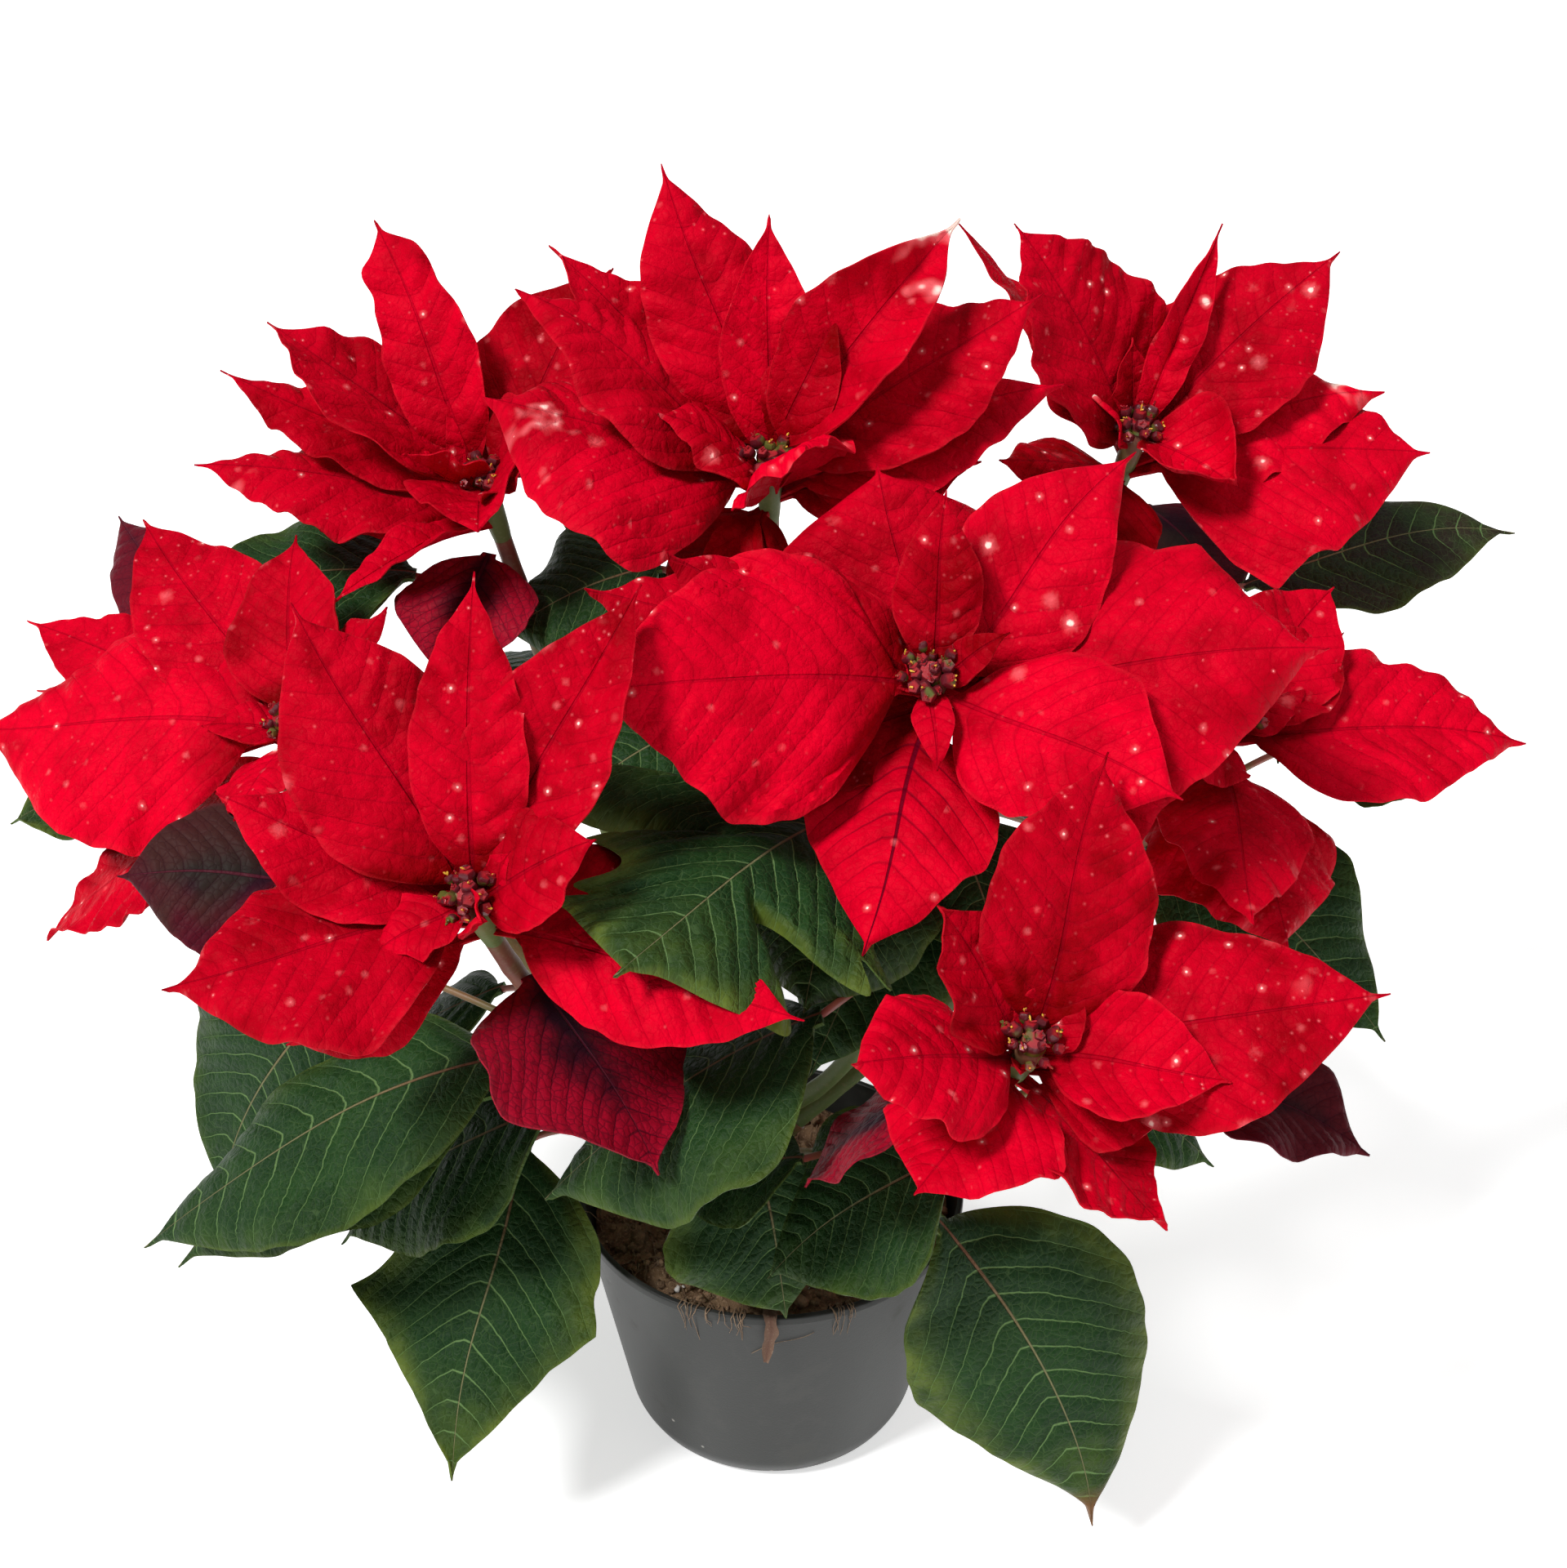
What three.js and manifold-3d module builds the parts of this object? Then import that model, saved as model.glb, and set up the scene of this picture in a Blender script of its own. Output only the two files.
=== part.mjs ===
// A poinsettia in its nursery pot, as an assembly of separate pieces: the pot, its soil, a dry strip of old
// leaf over the rim, the woody trunk, the leafy shoots, a few dark leaves just under the blooms, and on each
// shoot a bloom of red bracts round a cluster of small buds (cyathia). Millimetres, +Z up, the origin at the
// centre of the pot's underside.
import * as THREE from "three";
import { mergeVertices } from "three/addons/utils/BufferGeometryUtils.js";
import Module from "manifold-3d";

// ---- Driving dimensions ----
const GAP = 0.3; // clearance left wherever two pieces touch

const POT = {
  height: 90,
  baseRadius: 48, // where the wall's line would meet the ground
  foot: [
    [42, 0], // the rounded foot under the wall: radius and height
    [46.5, 2.5],
  ],
  footHeight: 8, // where the foot meets the wall
  lipRadius: 65,
  lipDepth: 3, // height of the thicker band at the top
  lipProud: 0.6, // how far that band stands out of the wall
  lipThickness: 2.2,
  wall: 1.6,
  floor: 2.4,
  holes: 4, // drainage holes in the floor
  holeRadius: 3,
  holeCircle: 29,
  holeSides: 8,
  sides: 28,
};

const SOIL = {
  level: 78, // height of its top before the heap and the crumbs
  heap: 9, // how far it rises towards the front edge
  heapSideways: 0.3, // how much of that slope runs to the right
  dip: 3, // the most it sinks towards the back
  grain: 1.6, // height of the crumbs
  waves: [
    [0.31, 0.17, 0], // the crumbs' waves: radians per mm to the right and to the back, and the phase
    [-0.22, 0.43, 1],
  ],
  shoulder: 10, // how far under the level its side bends to the crumbly edge
  lowestEdge: 72, // the edge is narrow enough to pass the pot's wall down to this height
  rings: 6,
  sides: 28, // as the pot's, so that the two stay clear
};

const TRUNK = { foot: 56, top: 127, footRadius: 5.2, topRadius: 3.6, sides: 8 };
const STUB = { length: 12, radius: 3.4 }; // where a shoot leaves the trunk
const SHOOT = { radius: 2.9, sides: 8, steps: 7, rise: 44, leave: 0.4, arrive: 0.35 };

const HUB = { depth: 25, radius: 4.2, sides: 8 }; // top of the stem, which carries the bracts
const CLUSTER = {
  coreRadius: 4.4,
  coreHeight: 4.5,
  ring: 5, // radius of the ring of buds
  buds: 6,
  budRadius: 2.3,
  budHeight: 3.1,
  ringBud: 0.95, // size of a bud of the ring, as a share of the middle one
  lift: 4.2,
  middleLift: 6.4,
  unevenness: 0.5, // how far the ring's buds stand up and down
  turnEach: 23, // degrees from one bloom's ring to the next bloom's
};

const BLADE = {
  thickness: 0.8,
  stations: [0, 0.15, 0.38, 0.68, 1], // along a blade from its foot to its tip
  shortStations: [0, 0.25, 0.6, 1],
  shortLength: 50, // blades under this length take the short list
  widestAt: 0.375, // share of the length where the outline is widest
  footPower: 0.75, // how full the outline is near the foot, and how fast it narrows to the tip
  tipPower: 1.25,
  tipWidth: 0.7,
  toothReach: 0.13, // how far along the blade a tooth spreads
  rollWithin: 0.2, // a blade's roll is reached in this share of its length
};

// A bract grows from the hub. Each one starts higher up the hub than the one before it in its bloom's list.
const BRACT = {
  footShare: 0.12, // the narrow foot
  footWidth: 2.6,
  sunk: 1.8, // how far from the middle of the hub it starts
  lowest: 20, // depth of the first and the last one below the bloom's centre
  highest: 4,
  clearOfBuds: 8.5, // a steep bract starts low enough to pass the buds at this radius
  underBuds: 1.5, // and by this much
  arch: 0.06, // bow of the midrib, as a share of the length
  foldLow: -8, // how far the two halves rise from the midrib, for the first and the last bract
  foldHigh: 12,
  roll: 8, // turn about the midrib, so that each bract laps over the next
};

const LEAF = {
  footShare: 0.03,
  arch: 0.07,
  fold: -6,
  stalkWidth: 2.6,
  stalkThickness: 2.2,
  stalkShare: 0.9, // where the stalk's section ends, as a share of the way to the blade
  drop: 22, // how far below the blade's foot the stalk leaves the shoot
  darkDrop: 8,
  highest: 0.85, // the highest place on the shoot that carries a leaf
  darkHighest: 0.93,
  places: 40, // places along a shoot where a stalk may leave it
};

// The dry strip's middle line, from the soil over the rim: sideways, out of the rim and above the rim.
const DRY_STRIP = {
  width: 4,
  thickness: 0.8,
  tipShare: 0.3,
  line: [
    [0, -12, 1.8],
    [0, -5, 1.2],
    [0, 0.5, 1.1],
    [0.6, 1.6, -3.5],
    [-0.6, 0.9, -9.5],
    [-1.4, 1.3, -17],
  ],
};

const RED = new THREE.MeshStandardMaterial({ color: 0xc2102a, roughness: 0.5, metalness: 0 });
const GREEN = new THREE.MeshStandardMaterial({ color: 0x28502c, roughness: 0.55, metalness: 0 });
const DARK = new THREE.MeshStandardMaterial({ color: 0x4a1a24, roughness: 0.5, metalness: 0 });
const BUDS = new THREE.MeshStandardMaterial({ color: 0x6e1522, roughness: 0.45, metalness: 0 });
const WOOD = new THREE.MeshStandardMaterial({ color: 0x6d6a3c, roughness: 0.8, metalness: 0 });
const PEAT = new THREE.MeshStandardMaterial({ color: 0x4a3a2c, roughness: 1, metalness: 0 });
const STRAW = new THREE.MeshStandardMaterial({ color: 0x7a5f42, roughness: 0.9, metalness: 0 });
const POT_PLASTIC = new THREE.MeshStandardMaterial({ color: 0x4a4b49, roughness: 0.55, metalness: 0 });

// Each bloom: the centre of its bud cluster, the way its face leans (azimuth, degrees off upright), the
// height where its shoot leaves the trunk, and its bracts from the lowest up. A bract is its azimuth, length,
// lift and width, then its roll and its teeth where it has them; the angles are degrees in the bloom's own
// leaning frame. A tooth is its place along the blade, its side (1 or -1) and its size as a share of the half
// width.
const BLOOMS = {
  centre: {
    at: [45, -45, 310],
    lean: [260, 35],
    branch: 120,
    bracts: [
      [253, 80, 5, 54],
      [0, 110, 10, 82, 8, [0.38, 1, 0.25], [0.68, -1, 0.2]],
      [100, 70, 20, 78],
      [45, 90, 15, 45],
      [165, 102, 18, 50],
      [158, 85, 28, 40],
      [325, 80, 10, 50],
      [187, 100, 22, 75, -12],
      [80, 55, 35, 25],
      [270, 30, 10, 12],
    ],
  },
  front_left: {
    at: [-80, -95, 270],
    lean: [250, 30],
    branch: 100,
    bracts: [
      [193, 72, -20, 36],
      [338, 92, -6, 42, 0],
      [10, 50, -10, 45],
      [155, 80, 25, 40],
      [197, 86, 18, 65],
      [118, 98, 35, 55, 8, [0.38, 1, 0.2]],
      [48, 100, 30, 42, 16],
      [78, 92, 40, 33],
      [5, 45, 30, 35],
      [210, 30, 10, 20],
    ],
  },
  front_right: {
    at: [70, -120, 240],
    lean: [290, 30],
    branch: 96,
    bracts: [
      [317, 58, -2, 50, -30],
      [235, 50, 5, 55, 30],
      [0, 50, 5, 45],
      [10, 100, 20, 58],
      [200, 60, 25, 45],
      [350, 55, 20, 36],
      [140, 50, 35, 40],
      [82, 85, 40, 50],
    ],
  },
  back_left: {
    at: [-90, 65, 320],
    lean: [240, 20],
    branch: 112,
    bracts: [
      [149, 100, -5, 40],
      [228, 68, 17, 20],
      [175, 95, 20, 45],
      [155, 98, 25, 35],
      [50, 85, 30, 55],
      [145, 90, 35, 48, 20],
      [110, 95, 45, 30, -15],
      [350, 40, 30, 40],
      [275, 36, 20, 40],
    ],
  },
  back_middle: {
    at: [0, 35, 340],
    lean: [270, 20],
    branch: 124,
    bracts: [
      [215, 45, -25, 40],
      [250, 40, -35, 30],
      [5, 65, 10, 40],
      [15, 95, 15, 40],
      [140, 100, 30, 40],
      [175, 90, 20, 88],
      [25, 100, 25, 50],
      [155, 95, 30, 50],
      [115, 100, 40, 44, -10],
      [40, 95, 40, 35],
      [180, 42, 40, 34],
      [90, 80, 50, 30],
      [55, 60, 55, 25],
      [295, 50, 60, 42],
    ],
  },
  back_right: {
    at: [120, 105, 320],
    lean: [300, 20],
    branch: 116,
    bracts: [
      [190, 44, 5, 45],
      [0, 100, 15, 90, 8, [0.38, 1, 0.2]],
      [15, 90, 20, 45],
      [145, 95, 30, 30],
      [165, 65, 40, 45],
      [40, 95, 35, 55],
      [150, 85, 45, 66, -5],
      [70, 80, 50, 18],
      [320, 40, 10, 35],
    ],
  },
  left: {
    at: [-145, 0, 270],
    lean: [200, 30],
    branch: 104,
    bracts: [
      [185, 113, -4, 60],
      [140, 130, 20, 45],
      [115, 110, 30, 50],
      [148, 118, 14, 50],
      [320, 45, 20, 35],
      [20, 50, 25, 35],
      [255, 44, 15, 38],
      [164, 114, 16, 80, -22],
      [170, 30, 30, 20],
    ],
  },
  right: {
    at: [142, 10, 268],
    lean: [330, 25],
    branch: 108,
    bracts: [
      [290, 72, -5, 65, 10],
      [272, 80, 5, 50],
      [8, 101, 17, 60],
      [235, 50, 15, 35],
      [190, 60, 25, 40],
      [45, 50, 30, 35],
      [120, 50, 35, 35],
    ],
  },
};

// The green leaves of each shoot: where the blade starts and where its tip is, its width, then its roll and
// its teeth where it has them.
const LEAVES = {
  centre: [
    [[15, -80, 220], [-65, -90, 160], 85],
    [[30, -25, 255], [-40, -120, 260], 90, -20, [0.38, -1, 0.3], [0.68, 1, 0.3]],
    [[25, -15, 250], [10, -80, 220], 75],
    [[50, -15, 240], [12, -60, 182], 60],
    [[56, -22, 250], [66, -62, 222], 58],
    [[-15, 25, 260], [-60, -10, 245], 55, -20],
  ],
  front_left: [
    [[-75, -60, 190], [-195, -60, 115], 65, -20],
    [[-130, -10, 185], [-185, -10, 90], 80, -55, [0.38, -1, 0.25]],
    [[-85, -45, 165], [-190, -50, 100], 55, -15],
    [[-65, -45, 160], [-140, -35, 95], 65, -20],
    [[-80, -20, 125], [-100, -90, 45], 68, 0, [0.5, 1, 0.4], [0.5, -1, 0.2]],
  ],
  front_right: [
    [[-5, -50, 145], [5, -70, 95], 70],
    [[10, -65, 155], [-30, -55, 130], 40, -10],
    [[55, -80, 170], [0, -80, 120], 65, -20],
    [[50, -75, 140], [105, -90, 25], 76, 60],
  ],
  back_left: [
    [[-115, 75, 282], [-195, 75, 270], 80, -8],
    [[-70, 100, 225], [-115, 185, 190], 70],
    [[-80, 70, 175], [-160, 120, 115], 75],
  ],
  back_middle: [
    [[-35, 65, 290], [-85, 55, 270], 70, -20],
    [[-25, 95, 275], [-45, 75, 250], 45],
    [[-15, 90, 285], [-75, 115, 285], 50],
    [[0, 85, 215], [0, 185, 175], 75],
    [[25, 70, 165], [70, 155, 105], 75],
    [[-25, 70, 160], [-75, 150, 100], 75],
  ],
  back_right: [
    [[165, 130, 250], [265, 155, 260], 54, 18],
    [[100, 130, 225], [110, 200, 190], 70],
    [[90, 95, 175], [155, 165, 115], 75],
    [[110, 80, 190], [195, 100, 140], 70],
  ],
  left: [
    [[-185, 35, 235], [-245, 30, 215], 50, -20],
    [[-105, 30, 190], [-185, 45, 135], 70],
    [[-90, 30, 150], [-160, 40, 90], 60],
  ],
  right: [
    [[120, 35, 215], [200, 0, 150], 76, 25],
    [[175, 55, 230], [230, 45, 230], 55, 20],
    [[165, 60, 270], [160, 25, 240], 30],
    [[120, 20, 190], [190, 50, 140], 70],
    [[85, -5, 150], [145, -20, 115], 55],
  ],
};

// The dark leaves just under the blooms, each its own piece: name, shoot, then as a green leaf.
const DARK_LEAVES = [
  ["front", "front_left", [-67, -75, 230], [-30, -120, 195], 80, -20],
  ["inner", "front_right", [45, -95, 205], [10, -95, 170], 50, 15],
  ["front_right", "front_right", [115, -85, 205], [170, -100, 185], 55],
  ["back_left", "back_left", [-90, 71, 291], [-104, 40, 262], 50],
  ["left", "left", [-142, -44, 241], [-190, -42, 241], 46, -40],
  ["far_left", "left", [-185, 65, 250], [-235, 165, 260], 35, -20],
  ["back_right", "back_right", [135, 175, 260], [165, 135, 240], 68, 10],
];

// ---- Small helpers ----
const wasm = await Module();
wasm.setup();

const radians = THREE.MathUtils.degToRad;
const UP = new THREE.Vector3(0, 0, 1);

// The unit vector at an azimuth and a rise above the level.
function direction(azimuth, rise) {
  const a = radians(azimuth);
  const r = radians(rise);
  return new THREE.Vector3(Math.cos(r) * Math.cos(a), Math.cos(r) * Math.sin(a), Math.sin(r));
}

// A closed geometry as a solid that can be joined and cut.
function solid(geometry) {
  const bare = geometry.clone();
  bare.deleteAttribute("normal");
  bare.deleteAttribute("uv");
  const merged = mergeVertices(bare, 1e-4);
  return new wasm.Manifold(
    new wasm.Mesh({
      numProp: 3,
      vertProperties: merged.attributes.position.array,
      triVerts: new Uint32Array(merged.index.array),
    }),
  );
}

function geometryOf(body) {
  const { vertProperties, triVerts } = body.getMesh();
  const geometry = new THREE.BufferGeometry();
  geometry.setAttribute("position", new THREE.BufferAttribute(vertProperties, 3));
  geometry.setIndex(new THREE.BufferAttribute(triVerts, 1));
  geometry.computeVertexNormals();
  return geometry;
}

// The largest body of a solid, without any crumb that a cut leaves and with any sealed hollow filled.
function largest(body) {
  return body.decompose().reduce((most, one) => (one.volume() > most.volume() ? one : most));
}

// Several geometries as one solid.
function join(geometries) {
  return largest(geometries.map(solid).reduce((sum, one) => sum.add(one)));
}

// A cylinder from one point to another.
function rod(from, to, fromRadius, toRadius, sides) {
  const along = to.clone().sub(from);
  const geometry = new THREE.CylinderGeometry(toRadius, fromRadius, along.length(), sides);
  const axis = new THREE.Vector3(0, 1, 0);
  geometry.applyQuaternion(new THREE.Quaternion().setFromUnitVectors(axis, along.clone().normalize()));
  return geometry.translate(...from.clone().add(to).multiplyScalar(0.5).toArray());
}

// Rings of points joined into one closed skin. The lower half of each ring splits its faces the other way,
// so that a thin blade's two faces are split alike.
function loft(rings) {
  const count = rings[0].length;
  const last = (rings.length - 1) * count;
  const faces = [];
  for (let i = 0; i < rings.length - 1; i++) {
    for (let j = 0; j < count; j++) {
      const a = i * count + j;
      const b = i * count + ((j + 1) % count);
      const [c, d] = [a + count, b + count];
      if (j < count / 2) faces.push(a, b, d, a, d, c);
      else faces.push(a, b, c, b, d, c);
    }
  }
  for (let j = 1; j < count - 1; j++) {
    faces.push(0, j + 1, j);
    faces.push(last, last + j, last + j + 1);
  }
  const geometry = new THREE.BufferGeometry().setFromPoints(rings.flat());
  geometry.setIndex(faces);
  return geometry;
}

// ---- Blades: bracts and leaves ----

// The outline's half width, as a share of the widest, at x from 0 at the foot to 1 at the tip.
function outline(x) {
  const shape = (at) => at ** BLADE.footPower * (1 - at) ** BLADE.tipPower;
  return shape(x) / shape(BLADE.widestAt);
}

// Stations along a blade, with the nearest one moved onto each tooth.
function stationsFor(length, teeth) {
  const stations = [...(length < BLADE.shortLength ? BLADE.shortStations : BLADE.stations)];
  for (const [place] of teeth) {
    let nearest = 1;
    stations.forEach((x, i) => {
      const inner = i > 0 && i < stations.length - 1;
      if (inner && Math.abs(x - place) < Math.abs(stations[nearest] - place)) nearest = i;
    });
    stations[nearest] = place;
  }
  return stations;
}

// A blade's rings. Its midrib runs from the root along azimuth and lift, bowed up by arch; the blade is
// turned about the midrib by roll, and its two halves rise from the midrib by fold. Its foot is footWidth
// wide for the first footShare of the length, which starts at the share from.
function bladeRings(root, blade) {
  const { azimuth, length, lift, width, roll, arch, fold, teeth, footShare, footWidth, from } = blade;
  const along = direction(azimuth, lift);
  const across = along.clone().cross(direction(azimuth, lift + 90)).normalize();
  const above = across.clone().cross(along);
  const places = stationsFor(length, teeth).map((x) => footShare + (1 - footShare) * x);
  return [...from, ...places].map((u) => {
    const x = Math.max(0, (u - footShare) / (1 - footShare));
    const least = (x < 0.5 ? footWidth : BLADE.tipWidth) / 2;
    const bumps = (side) =>
      teeth
        .filter((tooth) => tooth[1] === side)
        .reduce((sum, [at, , size]) => sum + size * Math.max(0, 1 - Math.abs(x - at) / BLADE.toothReach), 0);
    const halfWidth = (side) => Math.max(least, (width / 2) * (outline(x) + bumps(side)));
    const rise = arch * 4 * u * (1 - u) * length;
    const middle = root.clone().addScaledVector(along, u * length).addScaledVector(above, rise);
    const tangent = along.clone().addScaledVector(above, arch * 4 * (1 - 2 * u)).normalize();
    const turn = radians(roll) * Math.min(1, u / BLADE.rollWithin);
    const sideways = across.clone().applyAxisAngle(tangent, turn);
    const normal = sideways.clone().cross(tangent);
    const point = (side, face) => {
      const reach = side === 0 ? 0 : halfWidth(side);
      return middle
        .clone()
        .addScaledVector(sideways, side * reach * Math.cos(radians(fold)))
        .addScaledVector(normal, reach * Math.sin(radians(fold)) + (face * BLADE.thickness) / 2);
    };
    return [point(-1, 1), point(0, 1), point(1, 1), point(1, -1), point(0, -1), point(-1, -1)];
  });
}

// How far below the bloom's centre bract number i of count starts.
function bractDepth(i, count, lift) {
  const inTurn = THREE.MathUtils.lerp(BRACT.lowest, BRACT.highest, i / (count - 1));
  return Math.max(inTurn, BRACT.clearOfBuds * Math.tan(radians(lift)) + BRACT.underBuds);
}

function bract([azimuth, length, lift, width, roll = BRACT.roll, ...teeth], i, bracts) {
  const root = new THREE.Vector3(0, 0, -bractDepth(i, bracts.length, lift));
  const fold = THREE.MathUtils.lerp(BRACT.foldLow, BRACT.foldHigh, i / (bracts.length - 1));
  const { arch, footShare, footWidth } = BRACT;
  const from = [BRACT.sunk / length];
  const blade = { azimuth, length, lift, width, roll, arch, fold, teeth, footShare, footWidth, from };
  return loft(bladeRings(root, blade));
}

// The rings of a leaf's stalk, from its shoot to the foot of the blade.
function stalkRings(from, to, blade) {
  const along = to.clone().sub(from);
  const [leftEdge, , rightEdge] = blade;
  const across = along.clone().cross(UP).normalize();
  if (across.dot(rightEdge.clone().sub(leftEdge)) < 0) across.negate();
  const above = across.clone().cross(along).normalize();
  return [0, LEAF.stalkShare].map((share) => {
    const middle = from.clone().addScaledVector(along, share);
    const corner = (x, y) =>
      middle
        .clone()
        .addScaledVector(across, (x * LEAF.stalkWidth) / 2)
        .addScaledVector(above, (y * LEAF.stalkThickness) / 2);
    return [corner(-1, 1), corner(0, 1), corner(1, 1), corner(1, -1), corner(0, -1), corner(-1, -1)];
  });
}

// The stalk leaves the shoot at the point nearest to a spot a little below the blade's foot.
function stalkStart(curve, foot, drop, highest) {
  const spot = foot.clone().setZ(foot.z - drop);
  const points = curve.getPoints(LEAF.places).slice(1, Math.floor(LEAF.places * highest));
  return points.reduce((near, p) => (p.distanceTo(spot) < near.distanceTo(spot) ? p : near));
}

// A leaf on its stalk, which starts at the middle of the shoot.
function leaf(curve, [footAt, tipAt, width, roll = 0, ...teeth], drop, highest) {
  const foot = new THREE.Vector3(...footAt);
  const reach = new THREE.Vector3(...tipAt).sub(foot);
  const length = reach.length();
  const azimuth = THREE.MathUtils.radToDeg(Math.atan2(reach.y, reach.x));
  const lift = THREE.MathUtils.radToDeg(Math.asin(reach.z / length));
  const { arch, fold, footShare, stalkWidth } = LEAF;
  const shape = { azimuth, length, lift, width, roll, arch, fold, teeth, footShare, footWidth: stalkWidth };
  const rings = bladeRings(foot, { ...shape, from: [] });
  const from = stalkStart(curve, foot, drop, highest);
  return loft([...stalkRings(from, foot, rings[0]), ...rings]);
}

// ---- The pieces ----
const plant = new THREE.Group();

function place(name, body, material) {
  const mesh = new THREE.Mesh(geometryOf(body), material);
  mesh.name = name;
  plant.add(mesh);
  return mesh;
}

// A closed profile of [radius, height] pairs turned about the upright axis.
function turned(profile, sides) {
  const points = profile.map(([r, z]) => new THREE.Vector2(r, z));
  return new THREE.LatheGeometry(points, sides).rotateX(Math.PI / 2);
}

const wallRadius = (z) =>
  THREE.MathUtils.lerp(POT.baseRadius, POT.lipRadius - POT.lipProud, z / (POT.height - POT.lipDepth));

function makePot() {
  const { height, wall, floor, foot, footHeight, lipDepth, lipRadius } = POT;
  const band = height - lipDepth;
  const profile = [
    [0, 0],
    ...foot,
    [wallRadius(footHeight), footHeight],
    [wallRadius(band), band],
    [lipRadius, band],
    [lipRadius, height],
    [lipRadius - POT.lipThickness, height],
    [wallRadius(band) - wall, band],
    [wallRadius(footHeight) - wall, footHeight],
    [foot[0][0], floor],
    [0, floor],
  ];
  let body = solid(turned(profile, POT.sides));
  for (let i = 0; i < POT.holes; i++) {
    const spot = direction((i * 360) / POT.holes, 0).multiplyScalar(POT.holeCircle);
    const top = spot.clone().setZ(floor + 1);
    const bottom = spot.clone().setZ(-1);
    body = body.subtract(solid(rod(bottom, top, POT.holeRadius, POT.holeRadius, POT.holeSides)));
  }
  return body;
}

// The soil's height: crumbly, heaped towards the front, and lower at the back left.
function soilHeight(x, y) {
  const heap = (SOIL.heap * (x * SOIL.heapSideways - y)) / POT.lipRadius;
  const crumb = ([right, back, phase]) => Math.sin(x * right + y * back + phase);
  const crumbs = SOIL.waves.reduce((sum, wave) => sum + crumb(wave), 0);
  return SOIL.level + Math.max(-SOIL.dip, heap) + SOIL.grain * crumbs;
}

function makeSoil() {
  const clear = POT.wall + GAP;
  const edge = wallRadius(SOIL.lowestEdge) - clear;
  const shoulder = SOIL.level - SOIL.shoulder;
  const profile = [
    [0, POT.floor + GAP],
    [POT.foot[0][0] - GAP, POT.floor + GAP],
    [wallRadius(POT.footHeight) - clear, POT.footHeight + GAP],
    [wallRadius(shoulder) - clear, shoulder],
  ];
  for (let i = SOIL.rings; i >= 0; i--) profile.push([(edge * i) / SOIL.rings, SOIL.level]);
  const geometry = turned(profile, SOIL.sides);
  const at = geometry.attributes.position;
  for (let i = 0; i < at.count; i++) {
    if (at.getZ(i) > shoulder + 1) at.setZ(i, soilHeight(at.getX(i), at.getY(i)));
  }
  const foot = new THREE.Vector3(0, 0, TRUNK.foot - GAP);
  const mouth = new THREE.Vector3(0, 0, POT.height + SOIL.heap);
  const radius = TRUNK.footRadius + GAP;
  return solid(geometry).subtract(solid(rod(foot, mouth, radius, radius, TRUNK.sides)));
}

// A dry strip of old leaf that lies on the soil and hangs over the rim at the front.
function makeDryStrip() {
  const { width, thickness, tipShare, line } = DRY_STRIP;
  const path = line.map(([x, out, up]) => new THREE.Vector3(x, -POT.lipRadius - out, POT.height + up));
  const across = new THREE.Vector3(1, 0, 0);
  const last = path.length - 1;
  const rings = path.map((p, i) => {
    const run = path[Math.min(last, i + 1)].clone().sub(path[Math.max(0, i - 1)]);
    const normal = across.clone().cross(run).normalize();
    const half = (width / 2) * (i === last ? tipShare : 1);
    const corner = (x, y) =>
      p.clone().addScaledVector(across, x * half).addScaledVector(normal, (y * thickness) / 2);
    return [corner(-1, 1), corner(1, 1), corner(1, -1), corner(-1, -1)];
  });
  return solid(loft(rings));
}

const forkPoint = (bloom) => new THREE.Vector3(0, 0, bloom.branch);

// The quarter that a bloom stands in gives the way its shoot leaves the trunk.
function forkDirection(bloom) {
  const end = stemEnd(bloom);
  return direction(THREE.MathUtils.radToDeg(Math.atan2(end.y, end.x)), SHOOT.rise);
}

// The turn that leans a bloom's face towards its azimuth.
function leanOf({ lean: [azimuth, tilt] }) {
  return new THREE.Quaternion().setFromAxisAngle(direction(azimuth + 90, 0), radians(tilt));
}

const faceOf = (bloom) => UP.clone().applyQuaternion(leanOf(bloom));

function stemEnd(bloom) {
  return new THREE.Vector3(...bloom.at).addScaledVector(faceOf(bloom), -HUB.depth);
}

// A shoot's middle line: it leaves its stub straight and arrives square to the underside of its bloom.
function shootCurve(bloom) {
  const start = forkPoint(bloom).addScaledVector(forkDirection(bloom), STUB.length);
  const end = stemEnd(bloom);
  const span = start.distanceTo(end);
  const leaving = start.clone().addScaledVector(forkDirection(bloom), SHOOT.leave * span);
  const arriving = end.clone().addScaledVector(faceOf(bloom), -SHOOT.arrive * span);
  return new THREE.CubicBezierCurve3(start, leaving, arriving, end);
}

function makeTrunk() {
  const foot = new THREE.Vector3(0, 0, TRUNK.foot);
  const top = new THREE.Vector3(0, 0, TRUNK.top);
  const pieces = [rod(foot, top, TRUNK.footRadius, TRUNK.topRadius, TRUNK.sides)];
  for (const bloom of Object.values(BLOOMS)) {
    const from = forkPoint(bloom);
    const to = from.clone().addScaledVector(forkDirection(bloom), STUB.length - GAP);
    pieces.push(rod(from, to, STUB.radius, STUB.radius, SHOOT.sides));
  }
  return join(pieces);
}

function stem(curve, radius) {
  return new THREE.ExtrudeGeometry(new THREE.Shape().absarc(0, 0, radius, 0, 2 * Math.PI), {
    steps: SHOOT.steps,
    curveSegments: SHOOT.sides / 2,
    extrudePath: curve,
    bevelEnabled: false,
  });
}

function makeShoot(name, bloom) {
  const curve = shootCurve(bloom);
  const leaves = LEAVES[name].map((row) => leaf(curve, row, LEAF.drop, LEAF.highest));
  return join([stem(curve, SHOOT.radius), ...leaves]);
}

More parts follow.
